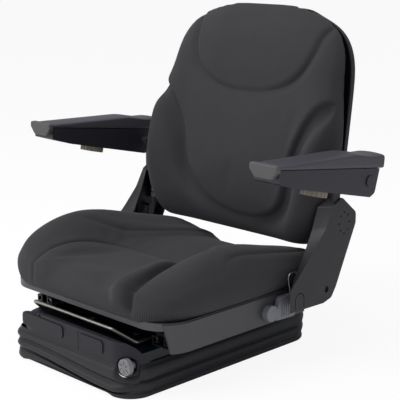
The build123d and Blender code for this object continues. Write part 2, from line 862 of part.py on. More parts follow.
def release_bar():
    route = FilletPolyline(
        (-bar_leg_x, bar_pivot_y, bar_leg_z),
        (-bar_leg_x, bar_knee_y, bar_leg_z),
        (bar_left_x, bar_y, bar_z),
        (bar_right_x, bar_y, bar_z),
        (bar_leg_x, bar_knee_y, bar_leg_z),
        (bar_leg_x, bar_pivot_y, bar_leg_z),
        radius=7,
    )
    start = Plane(origin=route @ 0, z_dir=route % 0)
    bar = sweep(start * Circle(bar_r), path=route)
    for side in (-1, 1):
        x = side * bar_leg_x
        bar += rod_x(x - bar_hub_half, x + bar_hub_half, bar_pivot_y, bar_leg_z, bar_hub_r)
    reach = bar_leg_x + bar_hub_half + 1
    bar -= rod_x(-reach, reach, bar_pivot_y, bar_leg_z, bar_pin_r + running)
    return bar


# Lock lever of the fore and aft isolator, on the right front corner of the deck

def isolator_lever():
    blade = link(lever_pivot, lever_tip, lever_half_width)
    lever = prism_z(blade, lever_z, lever_z + lever_sheet)
    lever = fillet(lever.edges().group_by(Axis.Z)[-1], 1.5)
    lever += rod_z(lever_pivot[0], lever_pivot[1], deck_z + seat_gap, lever_z + lever_sheet - 2, 6)
    lever -= rod_z(lever_pivot[0], lever_pivot[1], deck_z - 1, lever_z + lever_sheet + 1,
                   lever_pin_r + running)
    return lever


def lever_pin():
    top = lever_z + lever_sheet + seat_gap
    pin = rod_z(lever_pivot[0], lever_pivot[1], deck_z, top, lever_pin_r)
    return pin + rod_z(lever_pivot[0], lever_pivot[1], top, top + 3, 6)


# Seat frame, pan and side covers

def seat_frame():
    frame = None
    for side in (-1, 1):
        x = side * rail_x
        runner = block(x - runner_half_width, x + runner_half_width, rail_front_y, rail_rear_y,
                       slider_z, slider_z + beam_sheet)
        frame = runner if frame is None else frame + runner
    reach = rail_x + runner_half_width
    for y in beam_ys:
        half = beam_width / 2
        beam = block(-reach, reach, y - half, y + half, slider_z, pan_z)
        beam -= block(-reach - 1, reach + 1, y - half + beam_sheet, y + half - beam_sheet,
                      slider_z - 1, pan_z - beam_sheet)
        frame += beam
    return frame


def pan_outline(inset):
    x = pan_half_x - inset
    y0 = pan_front_y + inset
    y1 = pan_rear_y - inset
    front_r = pan_front_corner - inset
    rear_r = pan_rear_corner - inset
    corners = [(-x, y0), (x, y0), (x, y1), (-x, y1)]
    return soft_polygon(corners, [front_r, front_r, rear_r, rear_r])


def seat_pan():
    pan = prism_z(pan_outline(0), pan_z, pan_z + pan_lip)
    pan -= prism_z(pan_outline(pan_sheet), pan_z + pan_sheet, pan_z + pan_lip + 1)
    pan -= light_holes(pan_z - 1, pan_z + pan_sheet + 1, (-140, -20, 90))
    return pan


def side_cover():
    cover = prism_z(pan_outline(-seat_gap - skirt_wall), skirt_low_z, pan_z + pan_lip - 2)
    cover -= prism_z(pan_outline(-seat_gap), skirt_low_z - 1, pan_z + pan_lip)
    front = polygon([
        (skirt_front_y, pan_z + pan_lip),
        (skirt_front_y + 10, skirt_low_z - 1),
        (-past_all, skirt_low_z - 1),
        (-past_all, pan_z + pan_lip),
    ])
    cover -= prism_x(front, 0, past_all)
    cover -= block(-past_all, 60, -past_all, past_all, 0, past_all)
    cover -= block(0, past_all, skirt_rear_y, past_all, 0, past_all)
    inner_x = pan_half_x + seat_gap
    cover += block(rail_x + runner_half_width, inner_x + 1, -60, -50, slider_z, slider_z + 12)
    cover += block(rail_x + runner_half_width, inner_x + 1, 96, 106, slider_z, slider_z + 12)
    return cover


def cushion_section(y, half, foot_half, crest_x, crest_rise, middle_rise):
    half += pan_half_x
    foot_half += pan_half_x
    crest_x += pan_half_x
    crest_z = cushion_level_z + crest_rise
    middle_z = cushion_level_z + middle_rise
    height = crest_z - cushion_foot_z
    outline = [
        (foot_half, cushion_foot_z + 8),
        (half - 6, cushion_foot_z + height * 0.26),
        (half, cushion_foot_z + height * 0.5),
        (half - 8, cushion_foot_z + height * 0.79),
        (crest_x, crest_z),
        (crest_x * 0.62, middle_z + (crest_z - middle_z) * 0.35),
        (0, middle_z),
    ]
    left = [(-x, z) for x, z in reversed(outline[:-1])]
    curve = Spline(*(outline + left))
    foot = Polyline(
        (-foot_half, cushion_foot_z + 8),
        (-foot_half + 8, cushion_foot_z),
        (foot_half - 8, cushion_foot_z),
        (foot_half, cushion_foot_z + 8),
    )
    return Pos(0, y, 0) * (Plane.XZ * make_face(curve + foot))


def seat_cushion():
    cushion = loft([cushion_section(*row) for row in cushion_sections])
    rim_top = pan_z + pan_lip + soft_gap
    below = block(-past_all, past_all, -past_all, past_all, cushion_foot_z - 10, rim_top)
    below -= prism_z(pan_outline(pan_sheet + soft_gap), cushion_foot_z - 11, rim_top + 1)
    return cushion - below


# Recliners on the seat side, with their hinge pins

def recliner():
    face = soft_polygon([
        (bracket_front_y, bracket_low_z),
        (bracket_rear_y, bracket_low_z),
        (hinge_y + recliner_r + 4, hinge_z + 4),
        (hinge_y + 12, hinge_z + recliner_r - 4),
        (hinge_y - 12, hinge_z + recliner_r - 4),
        (bracket_front_y, hinge_z - 8),
    ], 5)
    piece = prism_x(face, recliner_x, recliner_x + bracket_sheet)
    disc_end = plate_x - side_gap
    piece += rod_x(recliner_x, disc_end, hinge_y, hinge_z, recliner_r)
    piece += rod_x(disc_end, plate_x + plate_sheet, hinge_y, hinge_z, hinge_pin_r)
    strap = link((hinge_y, hinge_z), strap_top, 8)
    strap_x = ear_inner_x + side_gap + 1
    piece += prism_x(strap, strap_x, strap_x + strap_sheet)
    anchor_x = strap_x + strap_sheet
    piece += rod_x(anchor_x - 1, plate_x - side_gap, strap_top[0], strap_top[1], 3)
    rail_foot = block(rail_x + runner_half_width, recliner_x + 1, bracket_front_y + 24,
                      bracket_rear_y - 4, slider_z, slider_z + beam_sheet)
    return piece + rail_foot


ear_inner_x = ear_outer_x - ear_depth


# Recline plates and the frame of the backrest

def recline_plate():
    face = soft_polygon([
        (hinge_y - 17, hinge_z - 8),
        (hinge_y - 8, hinge_z - 17),
        (hinge_y + 8, hinge_z - 17),
        (hinge_y + 17, hinge_z - 6),
        (214, 190),
        (238, 228),
        (cross_bar_y + cross_bar_sheet, cross_bar_z),
        (cross_bar_y + cross_bar_sheet, cross_bar_z + 20),
        (222, 284),
        (arm_hinge_y + 9, 298),
        (arm_hinge_y + 9, arm_hinge_z + 9),
        (arm_hinge_y - 9, arm_hinge_z + 9),
        (arm_hinge_y - 9, 290),
        (184, 262),
        (164, 214),
    ], [5, 5, 5, 5, 12, 12, 3, 5, 8, 6, 8, 8, 8, 12, 20])
    face -= disc(hinge_y, hinge_z, hinge_pin_r + running)
    face -= disc(arm_hinge_y, arm_hinge_z, arm_pin_r + running)
    plate = prism_x(face, plate_x, plate_x + plate_sheet)
    plate += rod_x(plate_x - 8, plate_x, return_spring_y, return_spring_high_z + 6, 3)
    return plate


def leaning(depth, z):
    # y of a point at a height, a depth in front of the leaning plane
    return back_y + (z - back_z) * tan(radians(lean)) - depth / cos(radians(lean))


def backrest_frame():
    bar = block(-plate_x, plate_x, cross_bar_y, cross_bar_y + cross_bar_sheet,
                cross_bar_z, cross_bar_z + cross_bar_height)
    centre_depth = back_rest - 3 - hoop_r
    low_z = cross_bar_z + cross_bar_height - 2

    def at_height(x, z):
        return (x, leaning(centre_depth, z), z)

    route = FilletPolyline(
        at_height(-hoop_half_x, low_z),
        at_height(-hoop_half_x, hoop_top_z),
        at_height(hoop_half_x, hoop_top_z),
        at_height(hoop_half_x, low_z),
        radius=hoop_corner,
    )
    start = Plane(origin=route @ 0, z_dir=route % 0)
    hoop = sweep(start * Circle(hoop_r), path=route)
    return bar + hoop


def back_plane(z):
    up = Vector(0, sin(radians(lean)), cos(radians(lean)))
    return Plane(origin=(0, leaning(0, z), z), x_dir=(1, 0, 0), z_dir=up)


def back_section(z, half, middle, wing, edge):
    rear = -back_rest
    outline = [
        (half - 4, rear),
        (half, (rear * 2 - edge) / 3),
        (half - 1, -edge),
        (half * 0.93, -wing),
        (half * 0.72, -wing * 0.45 - middle * 0.55 - 1),
        (half * 0.4, -middle),
        (0, -middle),
    ]
    left = [(-x, d) for x, d in reversed(outline[:-1])]
    curve = Spline(*(outline + left))
    rear_line = Line((-half + 4, rear), (half - 4, rear))
    return back_plane(z) * make_face(curve + rear_line)


def backrest_cushion():
    return loft([back_section(*row) for row in back_sections])


def shell_section(z, half, inset, extra):
    front = -back_rest + seat_gap - extra
    rear = -back_rest + seat_gap + shell_depth - inset
    x = half - inset
    slope = x - shell_depth * 0.7
    points = [
        (x, front),
        (x, front + (rear - front) * 0.35),
        (slope, rear),
        (-slope, rear),
        (-x, front + (rear - front) * 0.35),
        (-x, front),
    ]
    return back_plane(z) * polygon(points)


def backrest_shell():
    outside = loft([shell_section(z, half, 0, 0) for z, half in shell_sections])
    first = shell_sections[0]
    last = shell_sections[-1]
    hollow_rows = [(first[0] + shell_wall, first[1])] + shell_sections[1:-1]
    hollow_rows += [(last[0] - shell_wall, last[1])]
    hollow = loft([shell_section(z, half, shell_wall, 1) for z, half in hollow_rows])
    shell = outside - hollow
    reach = plate_x + 5
    shell -= block(-reach, reach, cross_bar_y - seat_gap, cross_bar_y + cross_bar_sheet + seat_gap,
                   cross_bar_z - seat_gap, cross_bar_z + cross_bar_height + seat_gap)
    return shell


# Outline of the ear at its outer face and at its inner edge, as (y, z), and corner radii
ear_outer = [
    (187, 287), (213, 302), (256, 267), (256, 246), (201, 132), (188, 113), (165, 107), (68, 109),
    (70, 151), (134, 214), (166, 249),
]
ear_inner = [
    (172, 286), (209, 301), (254, 266), (254, 246), (199, 132), (187, 114), (165, 109), (106, 111),
    (107, 158), (137, 206), (157, 245),
]
ear_radii = [4, 6, 12, 14, 18, 12, 8, 3, 4, 50, 40]
ear_inward = [
    (1, -0.5), (0, -1), (-1, -0.6), (-1, 0), (-1, 0), (-0.8, 1), (0, 1), (1, 1), (1, -0.4),
    (0.8, -0.7), (1, -0.4),
]


def ear_outline(share, inset):
    # share runs from 0 at the outer face to 1 at the inner edge
    points = []
    for outer, inner, inward in zip(ear_outer, ear_inner, ear_inward):
        y = outer[0] + (inner[0] - outer[0]) * share + inward[0] * inset
        z = outer[1] + (inner[1] - outer[1]) * share + inward[1] * inset
        points.append((y, z))
    return soft_polygon(points, ear_radii)


def ear_loft(inner_x, outer_x, inset):
    low = Plane(origin=(inner_x, 0, 0), x_dir=(0, 1, 0), z_dir=(1, 0, 0))
    high = Plane(origin=(outer_x, 0, 0), x_dir=(0, 1, 0), z_dir=(1, 0, 0))
    low_share = (ear_outer_x - inner_x) / ear_depth
    high_share = (ear_outer_x - outer_x) / ear_depth
    low_face = low * ear_outline(low_share, inset)
    high_face = high * ear_outline(high_share, inset)
    return loft([low_face, high_face], ruled=True)


def ear_cover():
    cover = ear_loft(ear_inner_x, ear_outer_x, 0)
    cover -= ear_loft(ear_inner_x - 1, ear_outer_x - ear_wall, ear_wall)
    neck = block(plate_x - seat_gap, plate_x + plate_sheet + seat_gap,
                 arm_hinge_y - 9 - 1, arm_hinge_y + 9 + 1, 280, 320)
    cover -= neck
    cover -= rod_x(ear_outer_x - ear_wall - 1, ear_outer_x + 1, hinge_y, hinge_z, 6)
    for dot in range(ear_dots):
        turn = 2 * pi * dot / ear_dots
        y = ear_dot_centre[0] + ear_dot_ring * 0.75 * cos(turn)
        z = ear_dot_centre[1] + ear_dot_ring * sin(turn)
        cover -= rod_x(ear_outer_x - ear_wall - 1, ear_outer_x + 1, y, z, ear_dot_r)
    middle_y = tongue_low[0] + tongue_width / 2
    arc_z = tongue_high - tongue_width / 2
    outer_u = Pos(middle_y, arc_z) * Circle(tongue_width / 2)
    outer_u += Pos(middle_y, (arc_z + tongue_low[1]) / 2) * Rectangle(
        tongue_width, arc_z - tongue_low[1] - 8)
    inner_half = tongue_width / 2 - tongue_slit
    inner_u = Pos(middle_y, arc_z) * Circle(inner_half)
    inner_u += Pos(middle_y, (arc_z + tongue_low[1]) / 2) * Rectangle(
        2 * inner_half, arc_z - tongue_low[1])
    cover -= prism_x(outer_u - inner_u, ear_outer_x - ear_wall - 1, ear_outer_x + 1)
    return cover


def return_springs():
    # Drawn as rings on a core, one ring for each turn.
    x = plate_x - side_gap - return_spring_r - 0.5
    length = return_spring_high_z - return_spring_low_z
    points = [(0, 0)]
    turns = 9
    pitch = length / turns
    for turn in range(turns):
        points.append((return_spring_r - 1.2, turn * pitch))
        points.append((return_spring_r, (turn + 0.5) * pitch))
    points.append((return_spring_r - 1.2, length))
    points.append((0, length))
    face = Plane.XZ * polygon(points)
    barrel = Pos(x, return_spring_y, return_spring_low_z) * revolve(face, Axis.Z)
    barrel += rod_z(x, return_spring_y, return_spring_high_z - 1,
                    return_spring_high_z + 6 - 3 - soft_gap, return_spring_wire)
    hook_z = strap_top[1] + 3 + soft_gap
    barrel += rod_z(x, return_spring_y, hook_z, return_spring_low_z + 1, return_spring_wire)
    return both_sides(barrel)


# Recline paddle on the left side cover

paddle_x = pan_half_x + seat_gap + skirt_wall + seat_gap


def recline_paddle():
    face = soft_polygon([
        (paddle_y + 8, paddle_low_z + 2),
        (paddle_rear_y, paddle_low_z),
        (paddle_rear_y, paddle_high_z - 8),
        (paddle_rear_y - 12, paddle_high_z),
        (paddle_y + 20, paddle_high_z - 1),
    ], [6, 6, 4, 5, 8])
    paddle = prism_x(face, paddle_x + 2, paddle_x + paddle_depth)
    paddle += rod_x(paddle_x, paddle_x + paddle_depth + 1, paddle_y, paddle_z, paddle_boss_r)
    rib_pitch = (paddle_rear_y - paddle_y - 28) / paddle_ribs
    for rib in range(paddle_ribs):
        y = paddle_y + 26 + rib * rib_pitch
        paddle -= block(paddle_x + paddle_depth - 1.2, paddle_x + paddle_depth + 1, y, y + 2,
                        paddle_low_z + 6, paddle_high_z + 1)
    paddle -= rod_x(paddle_x - 1, paddle_x + paddle_depth - 3, paddle_y, paddle_z,
                    paddle_pin_r + running)
    return paddle


def paddle_pin():
    return rod_x(pan_half_x + seat_gap + skirt_wall, paddle_x + paddle_depth - 4,
                 paddle_y, paddle_z, paddle_pin_r)


# Armrests

ledge_front = (-46.0, 399.5)
ledge_rear = (244.0, 363.0)
pad_top = [(-46.0, 408.5), (160.0, 402.0), (206.0, 392.5), (242.0, 391.0)]
housing_bottom = [(-46.0, 376.0), (0.0, 361.5), (203.0, 315.0)]
housing_rear = [(217.0, 321.0), (230.0, 363.5)]


def ledge_z(y):
    share = (y - ledge_front[0]) / (ledge_rear[0] - ledge_front[0])
    return ledge_front[1] + share * (ledge_rear[1] - ledge_front[1])


def armrest_pad():
    points = pad_top + [(246.0, 385.0), ledge_rear, ledge_front]
    face = soft_polygon(points, [0.5, 60, 30, 3, 3, 2, 0.5])
    pad = prism_x(face, arm_inner_x, arm_outer_x)
    top_edges = pad.edges().filter_by(lambda e: e.center().Z > ledge_z(e.center().Y) + 6)
    long_edges = [e for e in top_edges if abs(e.center().X) > 1 and is_side_edge(e)]
    return fillet(long_edges, 4.0)


def is_side_edge(edge):
    x = edge.center().X
    on_side = min(abs(x - arm_inner_x), abs(x - arm_outer_x)) < 0.01
    return on_side and edge.center().Y > ledge_front[0] + 1


def housing_points(inset):
    rear_low, rear_high = housing_rear
    points = [(y + (inset if n == 0 else 0), z + inset) for n, (y, z) in enumerate(housing_bottom)]
    points += [(rear_low[0] - inset, rear_low[1] + inset * 0.5)]
    points += [(rear_high[0] - inset, ledge_z(rear_high[0]) + (1 if inset else 0))]
    points += [(ledge_front[0] + inset, ledge_z(ledge_front[0]) + (1 if inset else 0))]
    return points


def armrest_housing():
    radii = [3, 30, 8, 10, 1, 1]
    body = prism_x(soft_polygon(housing_points(0), radii), housing_inner_x, housing_outer_x)
    hollow = polygon(housing_points(housing_wall))
    body -= prism_x(hollow, housing_inner_x + housing_wall, housing_outer_x - housing_wall)
    body += rod_x(housing_inner_x, housing_outer_x, arm_hinge_y, arm_hinge_z, arm_boss_r)
    body -= rod_x(housing_inner_x - 1, arm_pin_end + 0.5, arm_hinge_y, arm_hinge_z,
                  arm_pin_r + running)
    body -= wheel_frame() * rod_z(0, 0, -20, 20, wheel_stem_r + running)
    return body


arm_pin_end = housing_outer_x - 6


def wheel_frame():
    # local Z points up through the sloping underside of the armrest
    low, high = housing_bottom[1], housing_bottom[2]
    share = (wheel_y - low[0]) / (high[0] - low[0])
    z = low[1] + share * (high[1] - low[1])
    slope = degrees(atan2(high[1] - low[1], high[0] - low[0]))
    return Pos((arm_inner_x + arm_outer_x) / 2, wheel_y, z) * Rot(slope, 0, 0)


def tilt_wheel():
    wheel = rod_z(0, 0, -seat_gap - wheel_depth, -seat_gap, wheel_r)
    for notch in range(wheel_notches):
        turn = Rot(0, 0, 360 * notch / wheel_notches)
        cutter = turn * Pos(wheel_r + 0.6, 0, -seat_gap - wheel_depth / 2)
        wheel -= cutter * Cylinder(1.8, wheel_depth + 2)
    wheel += rod_z(0, 0, -seat_gap, housing_wall + 4, wheel_stem_r)
    wheel += rod_z(0, 0, housing_wall + 1.2, housing_wall + 4, wheel_stem_r + 3)
    return wheel_frame() * wheel


def front_cap():
    low_z = housing_bottom[0][1] + 7
    top_z = pad_top[0][1]
    middle = (arm_inner_x + arm_outer_x) / 2
    half = arm_width / 2
    face = soft_polygon([
        (middle - half, top_z),
        (middle - half, ledge_front[1] - 2),
        (middle - half + 12, low_z),
        (middle + half - 12, low_z),
        (middle + half, ledge_front[1] - 2),
        (middle + half, top_z),
    ], [4, 4, 6, 6, 4, 4])
    cap = prism_y(face, arm_front_y, arm_front_y + arm_cap)
    return fillet(cap.edges().group_by(Axis.Y)[0], 2.5)


def pivot_cap():
    cap = rod_x(housing_outer_x, housing_outer_x + pivot_cap_proud + 0.5, arm_hinge_y,
                arm_hinge_z, pivot_cap_r)
    return fillet(cap.edges().group_by(Axis.X)[-1], 1.0)


def armrest_pins():
    pin = rod_x(plate_x, arm_pin_end, arm_hinge_y, arm_hinge_z, arm_pin_r)
    pin += rod_x(plate_x + plate_sheet, housing_inner_x - seat_gap, arm_hinge_y, arm_hinge_z,
                 arm_pin_r + 3)
    return both_sides(pin)


os.makedirs("parts", exist_ok=True)

write("base_frame", base_frame())
lower_channel = roller_channel(low_pivot_z)
write("lower_channel_left", lower_channel)
write("lower_channel_right", other_side(lower_channel))
write("bump_stops", *bump_stops())
write("base_pins", *base_pins())
write("bellows", bellows())
write("inner_scissor_frame", inner_scissor())
write("centre_pins", *centre_pins())
write("inner_rollers", *rollers(high_front))
write("outer_scissor_frame", outer_scissor())
write("outer_rollers", *rollers(low_front))
write("damper_tube", damper_tube())
write("damper_rod", damper_rod())
write("upper_frame", upper_frame())
write("upper_flange", upper_flange())
write("upper_lugs", *upper_lugs())
upper_channel = roller_channel(high_pivot_z)
write("upper_channel_left", upper_channel)
write("upper_channel_right", other_side(upper_channel))
write("top_pins", *top_pins(), lever_pin())
write("front_cover", front_cover())
write("knob_bezel", knob_bezel())
rail = lower_rail()
write("lower_rail_left", rail)
write("lower_rail_right", other_side(rail))
write("tension_springs", *tension_springs())
write("rail_bolts", *rail_bolts())
write("weight_knob", weight_knob())
write("adjuster_screw", adjuster_screw())
write("adjuster_yoke", adjuster_yoke())
write("slide_release_bar", release_bar())
write("isolator_lever", isolator_lever())
slider = upper_rail()
write("upper_rail_left", slider)
write("upper_rail_right", other_side(slider))
write("rail_balls", *rail_balls())
write("seat_frame", seat_frame())
write("seat_pan", seat_pan())
cover = side_cover()
write("side_cover_left", cover + paddle_pin())
write("side_cover_right", other_side(cover - block(0, past_all, -past_all, right_cover_y, 0,
                                                   past_all)))
write("seat_cushion", seat_cushion())
left_recliner = recliner()
write("recliner_left", left_recliner)
write("recliner_right", other_side(left_recliner))
write("recline_paddle", recline_paddle())
plate = recline_plate()
write("recline_plate_left", plate)
write("recline_plate_right", other_side(plate))
write("backrest_frame", backrest_frame())
write("backrest_shell", backrest_shell())
write("backrest_cushion", backrest_cushion())
ear = ear_cover()
write("ear_cover_left", ear)
write("ear_cover_right", other_side(ear))
write("return_springs", *return_springs())
write("armrest_pins", *armrest_pins())
for side, place in (("left", lambda piece: piece), ("right", other_side)):
    write(f"armrest_housing_{side}", place(armrest_housing()))
    write(f"armrest_pad_{side}", place(armrest_pad()))
    write(f"armrest_front_cap_{side}", place(front_cap()))
    write(f"armrest_pivot_cap_{side}", place(pivot_cap()))
    write(f"tilt_wheel_{side}", place(tilt_wheel()))
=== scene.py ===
"""Dresses the suspension seat: cloth cushions with sewn seams, the rubber bellows,
foam arm pads, and the painted, plated and moulded finishes of its other pieces."""

import json
import logging
import math
from dataclasses import dataclass
from enum import Enum

import bmesh
import bpy
import numpy as np
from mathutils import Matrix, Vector

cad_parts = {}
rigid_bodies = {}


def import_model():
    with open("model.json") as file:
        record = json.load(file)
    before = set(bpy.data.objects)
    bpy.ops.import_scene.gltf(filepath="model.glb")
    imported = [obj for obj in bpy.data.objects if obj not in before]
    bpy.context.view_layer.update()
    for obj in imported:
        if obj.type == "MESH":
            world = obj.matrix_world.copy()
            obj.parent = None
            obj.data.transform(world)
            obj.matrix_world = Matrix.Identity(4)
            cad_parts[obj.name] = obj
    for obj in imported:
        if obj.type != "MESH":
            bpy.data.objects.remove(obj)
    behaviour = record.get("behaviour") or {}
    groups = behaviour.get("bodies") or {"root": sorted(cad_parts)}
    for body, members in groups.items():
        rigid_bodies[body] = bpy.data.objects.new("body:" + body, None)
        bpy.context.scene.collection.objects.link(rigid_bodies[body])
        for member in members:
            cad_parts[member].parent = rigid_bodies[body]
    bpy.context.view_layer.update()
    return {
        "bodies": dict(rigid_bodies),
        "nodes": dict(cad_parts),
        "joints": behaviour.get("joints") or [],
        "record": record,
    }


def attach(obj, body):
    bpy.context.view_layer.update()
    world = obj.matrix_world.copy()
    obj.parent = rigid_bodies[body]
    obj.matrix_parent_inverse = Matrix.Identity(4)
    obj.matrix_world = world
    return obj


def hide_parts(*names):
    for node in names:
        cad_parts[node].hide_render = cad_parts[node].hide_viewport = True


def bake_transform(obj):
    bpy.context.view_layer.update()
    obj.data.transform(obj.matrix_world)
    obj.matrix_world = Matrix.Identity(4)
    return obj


LOG = logging.getLogger("suspension_seat")
MM = 0.001
# Loose triangles of a CAD node are joined within this distance.
JOIN_MM = 0.02


# Small helpers


def linear(colour: str) -> tuple[float, float, float, float]:
    """Turns an sRGB hex colour into linear red, green, blue and alpha.

    Args:
        colour: six hex digits after a hash, such as "#3a3a3b".

    Returns:
        The linear channels, with alpha 1.
    """
    channels = np.array([int(colour[i:i + 2], 16) for i in (1, 3, 5)]) / 255
    low = channels / 12.92
    high = ((channels + 0.055) / 1.055) ** 2.4
    red, green, blue = np.where(channels <= 0.04045, low, high)
    return float(red), float(green), float(blue), 1.0


def smooth_step(value: np.ndarray, low: float, high: float) -> np.ndarray:
    """A smooth rise from 0 at low to 1 at high, flat at both ends."""
    share = np.clip((value - low) / (high - low), 0, 1)
    return share * share * (3 - 2 * share)


def add_node(tree: bpy.types.NodeTree, kind: str, settings: dict | None = None,
             links: dict | None = None) -> bpy.types.Node:
    """Adds one shader node, sets it and links it.

    Args:
        tree: the node tree of a material or world.
        kind: Blender's name of the node's type.
        settings: values by socket name, or by attribute where no socket has the name.
        links: output sockets by the name or number of the input that they feed.

    Returns:
        The new node.
    """
    node = tree.nodes.new(kind)
    for name, value in (settings or {}).items():
        if isinstance(name, int) or name in node.inputs:
            node.inputs[name].default_value = value
        else:
            setattr(node, name, value)
    for name, output in (links or {}).items():
        tree.links.new(output, node.inputs[name])
    return node


def make_mesh(name: str, points: np.ndarray, faces: np.ndarray) -> bpy.types.Object:
    """Makes a mesh object of points in millimetres and four-cornered faces."""
    mesh = bpy.data.meshes.new(name)
    mesh.vertices.add(len(points))
    mesh.vertices.foreach_set("co", (points * MM).astype(np.float32).ravel())
    mesh.loops.add(faces.size)
    mesh.loops.foreach_set("vertex_index", faces.astype(np.int32).ravel())
    mesh.polygons.add(len(faces))
    mesh.polygons.foreach_set("loop_start", np.arange(0, faces.size, 4, dtype=np.int32))
    mesh.update(calc_edges=True)
    mesh.validate()
    piece = bpy.data.objects.new(name, mesh)
    bpy.context.scene.collection.objects.link(piece)
    shade_smooth(piece)
    return piece


def ring_faces(around: int, across: int) -> np.ndarray:
    """The faces of a grid that closes on itself both ways, as on a ring."""
    i, j = np.meshgrid(np.arange(around), np.arange(across), indexing="ij")
    a = i * across + j
    b = (i + 1) % around * across + j
    c = (i + 1) % around * across + (j + 1) % across
    d = i * across + (j + 1) % across
    return np.stack([a, b, c, d], axis=-1).reshape(-1, 4)


def shade_smooth(piece: bpy.types.Object) -> None:
    """Shades every face of a piece smooth."""
    count = len(piece.data.polygons)
    piece.data.polygons.foreach_set("use_smooth", np.ones(count, dtype=bool))
    piece.data.update()


def points_of(piece: bpy.types.Object) -> np.ndarray:
    """The piece's vertices in millimetres."""
    flat = np.empty(len(piece.data.vertices) * 3, np.float32)
    piece.data.vertices.foreach_get("co", flat)
    return flat.reshape(-1, 3).astype(float) / MM


def normals_of(piece: bpy.types.Object) -> np.ndarray:
    """The piece's vertex normals."""
    flat = np.empty(len(piece.data.vertices) * 3, np.float32)
    piece.data.vertex_normals.foreach_get("vector", flat)
    return flat.reshape(-1, 3).astype(float)


def set_points(piece: bpy.types.Object, points: np.ndarray) -> None:
    """Puts the vertices, in millimetres, back into the piece."""
    piece.data.vertices.foreach_set("co", (points * MM).astype(np.float32).ravel())
    piece.data.update()


def soft_curve(corners: list[tuple[float, float]], steps: int = 12) -> np.ndarray:
    """A smooth curve through points: each span is a cubic whose slope at a point is
    half the step between its neighbours.

    Args:
        corners: the points that the curve passes through.
        steps: how many points stand for each span.

    Returns:
        The curve's points, one row each.
    """
    p = np.array(corners, float)
    p = np.vstack([2 * p[0] - p[1], p, 2 * p[-1] - p[-2]])
    t = np.linspace(0, 1, steps, endpoint=False)[None, :, None]
    a, b, c, d = p[:-3, None], p[1:-2, None], p[2:-1, None], p[3:, None]
    spans = 0.5 * (2 * b + (c - a) * t + (2 * a - 5 * b + 4 * c - d) * t ** 2
                   + (3 * b - a - 3 * c + d) * t ** 3)
    return np.vstack([spans.reshape(-1, 2), p[-2]])


def beside_curve(places: np.ndarray, curve: np.ndarray) -> tuple[np.ndarray, np.ndarray]:
    """How far each place in a plane is from a curve, and on which side.

    The nearest point of each segment is found by projecting the place on it. The sign
    of the cross product of the segment and the way to the place gives the side.

    Args:
        places: points, one row of two numbers each.
        curve: the curve's points.

    Returns:
        The signed distance, positive on the left of the curve's direction, and the
        share of the curve's length at the nearest point.
    """
    spans = np.diff(curve, axis=0)
    lengths = np.linalg.norm(spans, axis=1)
    starts = np.concatenate([[0], np.cumsum(lengths)])
    nearest = np.full(len(places), np.inf)
    signed = np.zeros(len(places))
    share = np.zeros(len(places))
    for start, span, length, before in zip(curve[:-1], spans, lengths, starts):
        way = places - start
        t = np.clip(way @ span / length ** 2, 0, 1)
        gap = np.linalg.norm(way - t[:, None] * span, axis=1)
        side = np.sign(span[0] * way[:, 1] - span[1] * way[:, 0])
        closer = gap < nearest
        nearest = np.where(closer, gap, nearest)
        signed = np.where(closer, gap * np.where(side == 0, 1, side), signed)
        share = np.where(closer, before + t * length, share)
    return signed, share / starts[-1]


def copy_of_node(node: bpy.types.Object, name: str) -> bpy.types.Object:
    """A copy of a CAD node as a piece of its own, with its loose triangles joined."""
    mesh = node.data.copy()
    piece = bpy.data.objects.new(name, mesh)
    bpy.context.scene.collection.objects.link(piece)
    shell = bmesh.new()
    shell.from_mesh(mesh)
    bmesh.ops.remove_doubles(shell, verts=shell.verts, dist=JOIN_MM * MM)
    shell.to_mesh(mesh)
    shell.free()
    mesh.materials.clear()
    return piece


def apply_modifiers(piece: bpy.types.Object) -> None:
    """Replaces the piece's mesh by what its modifiers make of it, and drops them."""
    graph = bpy.context.evaluated_depsgraph_get()
    made = bpy.data.meshes.new_from_object(piece.evaluated_get(graph))
    piece.modifiers.clear()
    piece.data = made
    shade_smooth(piece)


# Finishes


# The two directions across the ribs of the weave, in Object coordinates. Neither lies
# along an axis, so the ribs show on every side of a cushion.
RIB_DIRECTIONS = ((1.0, 0.35, 0.6), (-0.35, 1.0, 0.8))
# How strongly the weave counts beside its noise, and how much wider the noise is.
RIB_SHARE = 0.3
FUZZ_WIDTH = 2.5
# The gathers: how far apart they are, the direction across them and their strength.
GATHER_MM = 4.0
GATHER_DIRECTION = (0.71, -0.71, 0.0)
GATHER_STRENGTH = 9.0
# The cloudy mottle of every finish: the size of one cloud.
CLOUD_MM = 34


class Pattern(Enum):
    """What the small relief of a surface looks like."""

    ORANGE_PEEL = "orange peel of a powder coat"
    GRAIN = "leather grain of a mould"
    MATT = "dull skin of moulded rubber"
    SPANGLE = "cloudy plating"
    CLOTH = "woven cloth"


